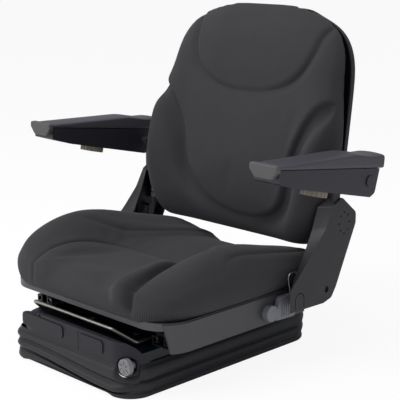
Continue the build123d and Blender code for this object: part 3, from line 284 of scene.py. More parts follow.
@dataclass(frozen=True)
class Finish:
    """How the surface of one real material looks.

    Attributes:
        name: the material's common name and how it was made.
        colour: its sRGB colour.
        roughness: how dull it is, from 0 to 1.
        pattern: the kind of its relief.
        pattern_mm: the size of one bump of the relief.
        relief_mm: how high the relief stands.
        metallic: 1 for bare metal, else 0.
        mottle: how much lighter and darker the colour gets from place to place.
        sheen: the soft light at the edges of cloth.
        specular: how strongly it shines; 0.5 is a plain smooth skin, less is fibrous.
        ior: the index of refraction. Metal keeps the default of 1.5.
    """

    name: str
    colour: str
    roughness: float
    pattern: Pattern
    pattern_mm: float
    relief_mm: float
    metallic: float = 0.0
    mottle: float = 0.06
    sheen: float = 0.0
    specular: float = 0.5
    ior: float = 1.5

    def shades(self) -> tuple[tuple, tuple]:
        """The darkest and the lightest colour of the mottle."""
        middle = np.array(linear(self.colour))
        low = tuple(np.append(middle[:3] * (1 - self.mottle), 1.0))
        high = tuple(np.append(np.minimum(middle[:3] * (1 + self.mottle), 1.0), 1.0))
        return low, high

    def relief(self, tree: bpy.types.NodeTree,
               place: bpy.types.NodeSocket) -> bpy.types.NodeSocket:
        """The relief's height at each place, from 0 to 1.

        Args:
            tree: the material's nodes.
            place: the Object coordinates, in metres.

        Returns:
            The socket that gives the height.
        """
        scale = 1 / (self.pattern_mm * MM)
        if self.pattern is Pattern.CLOTH:
            return self.weave(tree, place)
        if self.pattern is Pattern.GRAIN:
            cells = add_node(tree, "ShaderNodeTexVoronoi",
                             {"feature": "SMOOTH_F1", "Scale": scale, "Smoothness": 0.4},
                             {"Vector": place})
            return cells.outputs["Distance"]
        noise = add_node(tree, "ShaderNodeTexNoise",
                         {"Scale": scale, "Detail": 2.0, "Roughness": 0.5}, {"Vector": place})
        return noise.outputs["Fac"]

    def weave(self, tree: bpy.types.NodeTree,
              place: bpy.types.NodeSocket) -> bpy.types.NodeSocket:
        """Crossing ribs: the product of two sine waves along two slanting directions,
        broken up by a little noise. Where the cover is marked as gathered, a third sine
        wave across the front corner is added.

        Args:
            tree: the material's nodes.
            place: the Object coordinates, in metres.

        Returns:
            The socket that gives the height.
        """
        turn = 2 * math.pi / (self.pattern_mm * MM)
        ribs = []
        for direction in RIB_DIRECTIONS:
            along = add_node(tree, "ShaderNodeVectorMath",
                             {"operation": "DOT_PRODUCT", 1: direction}, {0: place})
            angle = add_node(tree, "ShaderNodeMath", {"operation": "MULTIPLY", 1: turn},
                             {0: along.outputs["Value"]})
            wave = add_node(tree, "ShaderNodeMath", {"operation": "SINE"},
                            {0: angle.outputs[0]})
            ribs.append(wave.outputs[0])
        crossed = add_node(tree, "ShaderNodeMath", {"operation": "MULTIPLY"},
                           {0: ribs[0], 1: ribs[1]})
        fuzz = add_node(tree, "ShaderNodeTexNoise",
                        {"Scale": 1 / (FUZZ_WIDTH * self.pattern_mm * MM), "Detail": 3.0},
                        {"Vector": place})
        height = add_node(tree, "ShaderNodeMath",
                          {"operation": "MULTIPLY_ADD", 1: RIB_SHARE},
                          {0: crossed.outputs[0], 2: fuzz.outputs["Fac"]})
        # The gathers cross the edge of either front corner, on the marked places only.
        mirrored = add_node(tree, "ShaderNodeVectorMath", {"operation": "ABSOLUTE"},
                            {0: place})
        along = add_node(tree, "ShaderNodeVectorMath",
                         {"operation": "DOT_PRODUCT", 1: GATHER_DIRECTION},
                         {0: mirrored.outputs["Vector"]})
        angle = add_node(tree, "ShaderNodeMath",
                         {"operation": "MULTIPLY", 1: 2 * math.pi / (GATHER_MM * MM)},
                         {0: along.outputs["Value"]})
        gather = add_node(tree, "ShaderNodeMath", {"operation": "SINE"},
                          {0: angle.outputs[0]})
        marked = add_node(tree, "ShaderNodeAttribute", {"attribute_name": "gathers"})
        gathers = add_node(tree, "ShaderNodeMath", {"operation": "MULTIPLY"},
                           {0: gather.outputs[0], 1: marked.outputs["Fac"]})
        total = add_node(tree, "ShaderNodeMath",
                         {"operation": "MULTIPLY_ADD", 1: GATHER_STRENGTH},
                         {0: gathers.outputs[0], 2: height.outputs[0]})
        return total.outputs[0]

    def material(self) -> bpy.types.Material:
        """Builds the material.

        Returns:
            A material on Object coordinates, with its mottle and relief.
        """
        found = bpy.data.materials.get(self.name)
        if found:
            return found
        made = bpy.data.materials.new(self.name)
        made.use_nodes = True
        tree = made.node_tree
        tree.nodes.clear()
        place = add_node(tree, "ShaderNodeTexCoord").outputs["Object"]
        cloud = add_node(tree, "ShaderNodeTexNoise",
                         {"Scale": 1 / (CLOUD_MM * MM), "Detail": 4.0, "Roughness": 0.6},
                         {"Vector": place})
        low, high = self.shades()
        shade = add_node(tree, "ShaderNodeMix", {"data_type": "RGBA", 6: low, 7: high},
                         {0: cloud.outputs["Fac"]})
        bump = add_node(tree, "ShaderNodeBump",
                        {"Strength": 1.0, "Distance": self.relief_mm * MM},
                        {"Height": self.relief(tree, place)})
        surface = add_node(tree, "ShaderNodeBsdfPrincipled",
                           {"Metallic": self.metallic, "Roughness": self.roughness,
                            "IOR": self.ior, "Specular IOR Level": self.specular,
                            "Sheen Weight": self.sheen, "Sheen Roughness": 0.5},
                           {"Base Color": shade.outputs[2], "Normal": bump.outputs["Normal"]})
        add_node(tree, "ShaderNodeOutputMaterial", {}, {"Surface": surface.outputs[0]})
        return made


# Woven polyester on foam: dark charcoal, quite dull, a soft light edge where it turns
# away. The real threads are 0.6 mm apart; drawn at 2.2 mm so that they show.
CLOTH = Finish("woven_polyester", "#343436", 0.95, Pattern.CLOTH, 2.2, 0.10,
               mottle=0.10, sheen=0.05, specular=0.15)
# The satin side skirts of the pan: black paint, drawn in a lighter dark grey as a painted
# sheen for the broad soft light that it reflects.
SKIRT_PAINTED_SHEEN = Finish("satin_steel_painted_sheen", "#353436", 0.38, Pattern.ORANGE_PEEL, 2.0, 0.04)
# Bare drawn steel of the slide's release bar: warm grey, satin.
DRAWN_STEEL = Finish("drawn_steel", "#8a8780", 0.36, Pattern.SPANGLE, 5.0, 0.01, metallic=1.0)
# Blue-passivated zinc of the deck: cool and dim.
BLUE_ZINC = Finish("blue_passivated_zinc", "#343c46", 0.4, Pattern.SPANGLE, 7.0, 0.02,
                   metallic=1.0, mottle=0.12)
# Powder-coated steel: near black, half gloss, with a faint orange peel.
POWDER_COAT = Finish("powder_coated_steel", "#161618", 0.42, Pattern.ORANGE_PEEL, 2.0, 0.05,
                     specular=0.35)
# The same coat on the pan's rolled lip, made a lighter grey as a painted highlight for the
# light that its rolled edge catches.
LIP_PAINTED_HIGHLIGHT = Finish("coated_steel_painted_highlight", "#424244", 0.45, Pattern.ORANGE_PEEL, 2.0, 0.04,
                  specular=0.4)
# Zinc-plated steel: silvery blue-grey, soft reflections, cloudy.
ZINC = Finish("zinc_plated_steel", "#8f949e", 0.34, Pattern.SPANGLE, 6.0, 0.02,
              metallic=1.0, mottle=0.10)
# Natural nylon: milky, dull, a little warm.
NYLON = Finish("moulded_nylon", "#d9d7cf", 0.5, Pattern.MATT, 3.0, 0.02, ior=1.53)
# Moulded rubber of the bellows: black, dull, with soft broad highlights on its folds.
RUBBER = Finish("moulded_rubber", "#1b1b1f", 0.5, Pattern.MATT, 4.0, 0.06,
                specular=0.3, ior=1.52)
# Moulded polypropylene covers: dark grey, fine leather grain.
MOULDED = Finish("grained_polypropylene", "#242326", 0.5, Pattern.GRAIN, 1.6, 0.04,
                 specular=0.4, ior=1.49)
# The dark pod cover between the bellows and the pan, a bluer black than the side covers.
MOULDED_DARK = Finish("smooth_dark_polypropylene", "#1b1a20", 0.45, Pattern.GRAIN, 1.6, 0.02,
                      specular=0.25, ior=1.49)
# The backrest's shell: the same plastic in black.
SHELL_BLACK = Finish("black_polypropylene", "#18181c", 0.5, Pattern.GRAIN, 1.8, 0.05,
                     specular=0.4, ior=1.49)
# Glass-filled nylon of the recline paddle: bluish grey, dull.
PADDLE = Finish("glass_filled_nylon", "#6c6d73", 0.5, Pattern.GRAIN, 1.5, 0.03, ior=1.53)
# The silvery knob: moulded ABS with a vacuum-coated face, its spokes in shadow.
RIM = Finish("silver_coated_abs", "#6b6b6e", 0.35, Pattern.MATT, 5.0, 0.0, ior=1.54)
# The arm housings: moulded ABS with a purple cast and a satin gloss.
ARM_ABS = Finish("satin_abs", "#1d1c24", 0.4, Pattern.GRAIN, 1.5, 0.02, specular=0.4,
                 ior=1.54)
# The front caps of the arms: the same plastic, duller, in a lighter grey that is painted light
# for the light falling on their fronts.
CAP_PAINTED_LIGHT = Finish("matt_abs_painted_light", "#424242", 0.55, Pattern.GRAIN, 1.5, 0.03, ior=1.54)
# The tilt wheels under the arms: warm beige-grey nylon.
WHEEL_BEIGE = Finish("beige_nylon", "#6f685c", 0.5, Pattern.GRAIN, 1.5, 0.02, ior=1.53)
# Skinned polyurethane foam of the arm pads: lighter, soft gloss, fine grain.
ARM_FOAM = Finish("skinned_polyurethane", "#37363d", 0.48, Pattern.GRAIN, 2.0, 0.05)

SLOT_FINISHES = {
    "black_steel": POWDER_COAT,
    "zinc_steel": ZINC,
    "roller_plastic": NYLON,
    "rubber": RUBBER,
    "cover_plastic": MOULDED,
    "paddle_plastic": PADDLE,
    "bezel": RIM,
    "armrest_plastic": ARM_ABS,
    "armrest_foam": ARM_FOAM,
    "seat_cloth": CLOTH,
}
NODE_FINISHES = {
    # The pan's lighter grey coat is a painted highlight.
    "seat_pan": LIP_PAINTED_HIGHLIGHT,
    "front_cover": MOULDED_DARK,
    "weight_knob": RIM,
    "knob_bezel": MOULDED_DARK,
    "slide_release_bar": DRAWN_STEEL,
    "upper_frame": BLUE_ZINC,
    # The side covers' lighter grey is a painted sheen.
    "side_cover_left": SKIRT_PAINTED_SHEEN,
    "side_cover_right": SKIRT_PAINTED_SHEEN,
    "lower_rail_left": POWDER_COAT,
    "lower_rail_right": POWDER_COAT,
    "upper_rail_left": POWDER_COAT,
    "upper_rail_right": POWDER_COAT,
    "backrest_shell": SHELL_BLACK,
    "isolator_lever": MOULDED_DARK,
    # The caps' lighter grey is painted light.
    "armrest_front_cap_left": CAP_PAINTED_LIGHT,
    "armrest_front_cap_right": CAP_PAINTED_LIGHT,
    "tilt_wheel_left": WHEEL_BEIGE,
    "tilt_wheel_right": WHEEL_BEIGE,
}


def dress(piece: bpy.types.Object, finish: Finish) -> None:
    """Gives a piece one finish."""
    piece.data.materials.clear()
    piece.data.materials.append(finish.material())


# Soft pieces


@dataclass
class SoftPiece:
    """A padded piece: foam under a sewn cover, swollen by a cloth simulation.

    Attributes:
        node: the CAD node that it stands for.
        name: the piece's name.
        body: the body that it rides on.
        voxel_mm: the mesh's spacing before its one subdivision.
        swell_mm: how far the cover may bulge.
        fill: how tightly it is stuffed; not used.
        pressure: the air pressure that blows the cover up in the simulation.
        frames: how long the simulation runs.
    """

    node: str
    name: str
    body: str
    voxel_mm: float = 5.0
    swell_mm: float = 6.0
    fill: float = 0.85
    pressure: float = 4.0
    frames: int = 20

    def held(self, points: np.ndarray) -> np.ndarray:
        """How firmly each point is held while the cover swells, from 0 to 1."""
        return np.zeros(len(points))

    def shape(self, points: np.ndarray, normals: np.ndarray) -> np.ndarray:
        """The foam's form: where each point goes before the cover swells."""
        return points

    def sew(self, points: np.ndarray, normals: np.ndarray) -> np.ndarray:
        """The seams: where each point goes after the cover has swollen."""
        return points

    def swell(self, piece: bpy.types.Object) -> None:
        """Blows the cover up with a cloth simulation. The length of each point's way is
        capped by a hyperbolic tangent at its limit, which is nothing where it is held."""
        before = points_of(piece)
        group = piece.vertex_groups.new(name="held")
        held = self.held(before)
        for level in np.unique(np.round(held, 1)):
            rows = np.nonzero(np.round(held, 1) == level)[0]
            group.add(rows.tolist(), float(level), "REPLACE")
        cloth = piece.modifiers.new("cover", "CLOTH")
        cloth.settings.quality = 4
        cloth.settings.mass = 0.4
        cloth.settings.tension_stiffness = 20
        cloth.settings.compression_stiffness = 20
        cloth.settings.shear_stiffness = 10
        cloth.settings.bending_stiffness = 8
        cloth.settings.use_pressure = True
        cloth.settings.uniform_pressure_force = self.pressure
        cloth.settings.vertex_group_mass = group.name
        cloth.settings.effector_weights.gravity = 0
        cloth.collision_settings.use_collision = False
        cloth.point_cache.frame_start = 1
        cloth.point_cache.frame_end = self.frames
        scene = bpy.context.scene
        for frame_number in range(1, self.frames + 1):
            scene.frame_set(frame_number)
        graph = bpy.context.evaluated_depsgraph_get()
        blown = piece.evaluated_get(graph).data
        flat = np.empty(len(blown.vertices) * 3, np.float32)
        blown.vertices.foreach_get("co", flat)
        piece.modifiers.remove(cloth)
        piece.vertex_groups.clear()
        scene.frame_set(1)
        way = flat.reshape(-1, 3).astype(float) / MM - before
        length = np.linalg.norm(way, axis=1, keepdims=True)
        limit = self.swell_mm * (1 - self.held(before))[:, None]
        way *= np.where(length > 1e-6, limit * np.tanh(length / np.maximum(limit, 1e-6))
                        / np.maximum(length, 1e-6), 0)
        set_points(piece, before + way)

    def build(self, frame: dict) -> bpy.types.Object:
        """Makes the piece from its CAD node: remeshed evenly, shaped, swollen,
        subdivided once and sewn.


        Returns:
            The finished piece, riding on its body.
        """
        piece = copy_of_node(frame["nodes"][self.node], self.name)
        remesh = piece.modifiers.new("even", "REMESH")
        remesh.mode = "VOXEL"
        remesh.voxel_size = self.voxel_mm * MM
        settle = piece.modifiers.new("settle", "SMOOTH")
        settle.factor = 0.5
        settle.iterations = 4
        apply_modifiers(piece)
        set_points(piece, self.shape(points_of(piece), normals_of(piece)))
        self.swell(piece)
        soften = piece.modifiers.new("soften", "SMOOTH")
        soften.factor = 0.5
        soften.iterations = 5
        finer = piece.modifiers.new("finer", "SUBSURF")
        finer.levels = finer.render_levels = 1
        apply_modifiers(piece)
        set_points(piece, self.sew(points_of(piece), normals_of(piece)))
        shade_smooth(piece)
        self.mark(piece)
        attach(piece, self.body)
        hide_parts(self.node)
        LOG.info("%s: %d points", self.name, len(piece.data.vertices))
        return piece

    def mark(self, piece: bpy.types.Object) -> None:
        """Dresses the piece. A piece with marks of its own adds them here."""
        dress(piece, CLOTH)


@dataclass
class SeatCushion(SoftPiece):
    """The seat: a front insert let in between two broad bolsters, which fall away
    beside the ridges of the rear, with gathers where the cover turns the front corners.

    Attributes:
        held_below_mm: below this height the pan holds the cover.
        lobe_mm: how high the left bolster stands beside the insert.
        low_lobe_mm: how high the right bolster stands there.
        crown_mm: how high the middle of the insert is crowned.
        ridge_step_mm: how far the foam falls away beyond each rear ridge.
        lobe_shoulder_mm: how wide the bolster's shoulder is.
        lobe_reach_mm: how far outside the insert's seam the bolster ends.
        insert_seam: the seam round the front insert, seen from above.
        rear_seam: the ridge along the rear on the right, mirrored for the left.
        edge_seam: the seam along the left edge, mirrored for the right.
    """

    node: str = "seat_cushion"
    name: str = "seat_cushion_cover"
    body: str = "seat"
    foot_mm: float = 127.5
    held_below_mm: float = 150.0
    lobe_mm: float = 19.0
    low_lobe_mm: float = 9.0
    crown_mm: float = 7.0
    ridge_step_mm: float = 8.0
    lobe_shoulder_mm: float = 15.0
    lobe_reach_mm: float = 62.0
    insert_seam: tuple = (
        (-124, -260), (-122, -212), (-126, -190), (-130, -165), (-129, -135), (-125, -102),
        (-120, -68), (-111, -43), (-96, -22), (-72, -9), (-38, -4), (0, -3), (38, -4),
        (72, -9), (96, -22), (112, -43), (125, -68), (135, -102), (143, -135), (148, -165),
        (149, -190), (147, -212), (146, -260),
    )
    rear_seam: tuple = (
        (-192, -72), (-166, -42), (-139, -6), (-126, 23), (-116, 54), (-108, 85),
        (-103, 110), (-91, 167), (-82, 225),
    )
    edge_seam: tuple = (
        (232, -72), (222, -48), (219, -5), (217, 25), (212, 62), (205, 104), (199, 148),
        (188, 200), (176, 240),
    )

    def held(self, points: np.ndarray) -> np.ndarray:
        """The foot sits in the pan and doesn't move, and the seams hold the cover in."""
        low = 1 - smooth_step(points[:, 2], self.held_below_mm - 10, self.held_below_mm + 12)
        gap, _ = beside_curve(points[:, :2], soft_curve(list(self.insert_seam)))
        sewn = np.exp(-(gap / 7) ** 2) * (points[:, 2] > self.held_below_mm)
        return np.maximum(low, 0.9 * sewn)

    def shape(self, points: np.ndarray, normals: np.ndarray) -> np.ndarray:
        """Raises the bolsters beside the insert: nothing on the seam, the full height a
        shoulder's width outside it, and back to nothing further out at the crest. The
        insert is crowned in its middle and sinks into a valley along its seam."""
        seam = soft_curve(list(self.insert_seam))
        gap, _ = beside_curve(points[:, :2], seam)
        outside = -gap
        up = np.clip(normals[:, 2], 0, 1)
        front = smooth_step(-points[:, 1], 0, 110)
        rise = smooth_step(outside, -2, self.lobe_shoulder_mm)
        fall = 1 - smooth_step(outside, self.lobe_shoulder_mm * 1.4, self.lobe_reach_mm)
        left_share = smooth_step(points[:, 0], -60, 60)
        lobe = self.low_lobe_mm + (self.lobe_mm - self.low_lobe_mm) * left_share
        lift = lobe * front * rise * fall * smooth_step(up, 0.15, 0.6)
        valley = 1 - smooth_step(np.abs(gap + 3), 0, 26)
        crown = self.crown_mm * smooth_step(gap, 6, 75) * smooth_step(up, 0.3, 0.8)
        sink = (1.5 + 6.5 * left_share * front) * valley * smooth_step(up, 0.3, 0.8)
        moved = points.copy()
        moved[:, 2] += lift + crown - sink
        # Beyond the ridge on each side of the rear the foam falls away.
        for side in (-1, 1):
            beyond, share = beside_curve(points[:, :2] * [side, 1],
                                         soft_curve(list(self.rear_seam)))
            step = smooth_step(-beyond, 0, 22) * smooth_step(share, 0.0, 0.25)
            moved[:, 2] -= self.ridge_step_mm * step * smooth_step(up, 0.1, 0.6)
        # On the front face the same lobes stand forward of the insert.
        forward = np.clip(-normals[:, 1], 0, 1)
        face = smooth_step(points[:, 2], self.held_below_mm - 4, self.held_below_mm + 24)
        stand = (3 + 11 * left_share) * rise * (1 - smooth_step(outside, 26, 58))
        stand = (stand - 5 * valley * left_share) * forward * face
        moved[:, 1] -= stand * smooth_step(-points[:, 1], 150, 190)
        return moved

    def sew(self, points: np.ndarray, normals: np.ndarray) -> np.ndarray:
        """Pulls the cover in along each seam by a narrow bell curve, with a low swelling
        of a wider bell curve beside it. Each seam fades out towards its ends."""
        above = smooth_step(points[:, 2], self.foot_mm + 14, self.foot_mm + 30)
        depth = np.zeros(len(points))
        gap, share = beside_curve(points[:, :2], soft_curve(list(self.insert_seam)))
        strength = (0.55 + 0.45 * smooth_step(np.abs(share - 0.5), 0.12, 0.3)
                    - 0.5 * smooth_step(0.5 - share, 0.28, 0.4))
        depth += strength * (4.2 * np.exp(-(gap / 3.2) ** 2)
                             - 1.5 * np.exp(-((np.abs(gap) - 9) / 6) ** 2))
        depth += 4.0 * np.exp(-((gap + 4) / 7) ** 2) * smooth_step(share - 0.5, 0.2, 0.34)
        for side in (-1, 1):
            mirrored = points[:, :2] * [side, 1]
            gap, share = beside_curve(mirrored, soft_curve(list(self.rear_seam)))
            ends = smooth_step(share, 0.0, 0.15)
            depth += ends * (2.4 * np.exp(-((gap + 3) / 4) ** 2)
                             - 2.6 * np.exp(-((gap - 10) / 11) ** 2))
            gap, share = beside_curve(mirrored, soft_curve(list(self.edge_seam)))
            ends = smooth_step(share, 0.0, 0.12)
            top = smooth_step(normals[:, 2], -0.2, 0.3)
            depth += ends * top * (2.8 * np.exp(-(gap / 3.0) ** 2)
                                   - 1.2 * np.exp(-((np.abs(gap) - 9) / 6) ** 2))
        facing = smooth_step(normals[:, 2] - normals[:, 1], -0.1, 0.4)
        return points - normals * (depth * above * facing)[:, None]

    def mark(self, piece: bpy.types.Object) -> None:
        """Dresses the cushion and marks where the cover is gathered: low on the two
        front corners."""
        points = points_of(piece)
        corner = np.hypot(np.abs(points[:, 0]) - 196, points[:, 1] + 196)
        low = smooth_step(points[:, 2], 137, 142) * (1 - smooth_step(points[:, 2], 149, 160))
        gathers = low * (1 - smooth_step(corner, 26, 48))
        mask = piece.data.attributes.new("gathers", "FLOAT", "POINT")
        mask.data.foreach_set("value", gathers.astype(np.float32))
        dress(piece, CLOTH)


@dataclass
class BackrestCushion(SoftPiece):
    """The backrest: a head panel and a lumbar panel, each let in by a U-shaped seam,
    between two side bolsters.

    Attributes:
        lean_deg: how far the backrest leans back at rest.
        foot_yz: a point of the leaning plane.
        held_behind_mm: how far behind that plane the shell holds the cover.
        let_out_mm: how far the rim is let out, since the remesh shrinks it.
        head_mm, lumbar_mm: how high the two panels stand.
        valley_mm: how deep the foam is let down just outside the lumbar seam.
        head_seam, lumbar_seam: the seams, as places across and above the floor.
    """

    node: str = "backrest_cushion"
    name: str = "backrest_cushion_cover"
    body: str = "backrest"
    lean_deg: float = 9.0
    foot_yz: tuple = (195.0, 202.0)
    held_behind_mm: float = 12.0
    let_out_mm: float = 3.0
    head_mm: float = 7.0
    lumbar_mm: float = 4.5
    valley_mm: float = 17.0
    head_seam: tuple = (
        (-172, 700), (-160, 625), (-147, 590), (-142, 562), (-128, 530), (-98, 503),
        (-50, 483), (12, 478), (72, 483), (122, 500), (152, 528), (168, 562), (174, 592),
        (190, 630), (200, 700),
    )
    lumbar_seam: tuple = (
        (-240, 484), (-200, 468), (-172, 444), (-145, 404), (-133, 376), (-126, 350),
        (-115, 322), (-100, 300), (-80, 280), (-46, 258), (0, 243), (40, 238), (84, 240),
        (122, 252), (146, 276), (156, 310), (160, 350), (166, 380), (178, 410), (196, 444),
        (214, 466), (246, 476),
    )

    def flat(self, points: np.ndarray) -> np.ndarray:
        """Each point's place on the leaning plane: x, and height above the floor."""
        return points[:, [0, 2]]

    def forward(self) -> np.ndarray:
        """The direction that the backrest faces."""
        lean = math.radians(self.lean_deg)
        return np.array([0, -math.cos(lean), math.sin(lean)])

    def depth_of(self, points: np.ndarray) -> np.ndarray:
        """How far each point stands in front of the leaning plane."""
        return (points - np.array([0, *self.foot_yz])) @ self.forward()

    def held(self, points: np.ndarray) -> np.ndarray:
        """The back of the cushion sits in its shell, and the seams hold the cover."""
        behind = 1 - smooth_step(self.depth_of(points), -self.held_behind_mm, 4)
        sewn = np.zeros(len(points))
        for seam in (self.head_seam, self.lumbar_seam):
            gap, _ = beside_curve(self.flat(points), soft_curve(list(seam)))
            sewn = np.maximum(sewn, np.exp(-(gap / 7) ** 2))
        return np.maximum(behind, 0.9 * sewn)

    def shape(self, points: np.ndarray, normals: np.ndarray) -> np.ndarray:
        """Raises the two panels inside their seams with a rounded shoulder, lowers the
        foam in a bell-shaped valley just outside the lumbar seam and raises it in a low
        bolster beyond. The rim, which the remesh has shrunk, is let out to the shell."""
        facing = smooth_step(normals @ self.forward(), 0.1, 0.6)
        head, _ = beside_curve(self.flat(points), soft_curve(list(self.head_seam)))
        lumbar, share = beside_curve(self.flat(points), soft_curve(list(self.lumbar_seam)))
        sides = smooth_step(np.abs(share - 0.5), 0.05, 0.22)
        edge = 0.5 + 0.5 * smooth_step(np.abs(points[:, 0] - 15), 40, 120)
        rise = self.head_mm * edge * smooth_step(head, -2, 13)
        rise += self.lumbar_mm * smooth_step(lumbar, -2, 12) * (1 - smooth_step(head, -20, 0))
        rise -= self.valley_mm * sides * np.exp(-((lumbar + 13) / 14) ** 2)
        rise += 5 * sides * np.exp(-((lumbar + 46) / 22) ** 2)
        rise += 4 * np.exp(-((points[:, 2] - 320) / 60) ** 2) * smooth_step(lumbar, 20, 90)
        sideways = 1 - smooth_step(np.abs(normals @ self.forward()), 0.3, 0.8)
        return (points + np.outer(rise * facing, self.forward())
                + normals * (self.let_out_mm * sideways)[:, None])

    def sew(self, points: np.ndarray, normals: np.ndarray) -> np.ndarray:
        """Pulls the cover in along both seams, with a low swelling beside them."""
        facing = smooth_step(normals @ self.forward(), 0.0, 0.4)
        depth = np.zeros(len(points))
        for seam, strong in ((self.head_seam, 3.0), (self.lumbar_seam, 3.6)):
            gap, share = beside_curve(self.flat(points), soft_curve(list(seam)))
            pull = strong * (0.35 + 0.65 * smooth_step(np.abs(share - 0.5), 0.06, 0.26))
            depth += pull * np.exp(-(gap / 3.2) ** 2)
            depth += pull * 0.7 * np.exp(-((gap + 5) / 7) ** 2)
            depth -= pull * 0.35 * np.exp(-((gap - 9) / 6) ** 2)
        return points - np.outer(depth * facing, self.forward())


@dataclass
class ArmPad(SoftPiece):
    """The foam pad on top of one armrest, crowned and rounded along its edges.

    Attributes:
        fall_mm: how far the top sinks at its long edges.
    """

    voxel_mm: float = 2.5
    swell_mm: float = 0.0
    fill: float = 0.95
    fall_mm: float = 2.4

    def shape(self, points: np.ndarray, normals: np.ndarray) -> np.ndarray:
        """Lets the top sink a little towards its long edges, by the square of the
        distance from the middle."""
        low, high = points.min(axis=0), points.max(axis=0)
        across = (points[:, 0] - (low[0] + high[0]) / 2) / ((high[0] - low[0]) / 2)
        moved = points.copy()
        moved[:, 2] -= self.fall_mm * across ** 2 * smooth_step(normals[:, 2], 0.2, 0.8)
        return moved

    def swell(self, piece: bpy.types.Object) -> None:
        """Skinned foam keeps the form of its mould, so its cover isn't blown up."""

    def mark(self, piece: bpy.types.Object) -> None:
        """Dresses the pad in skinned foam."""
        dress(piece, ARM_FOAM)


# The bellows


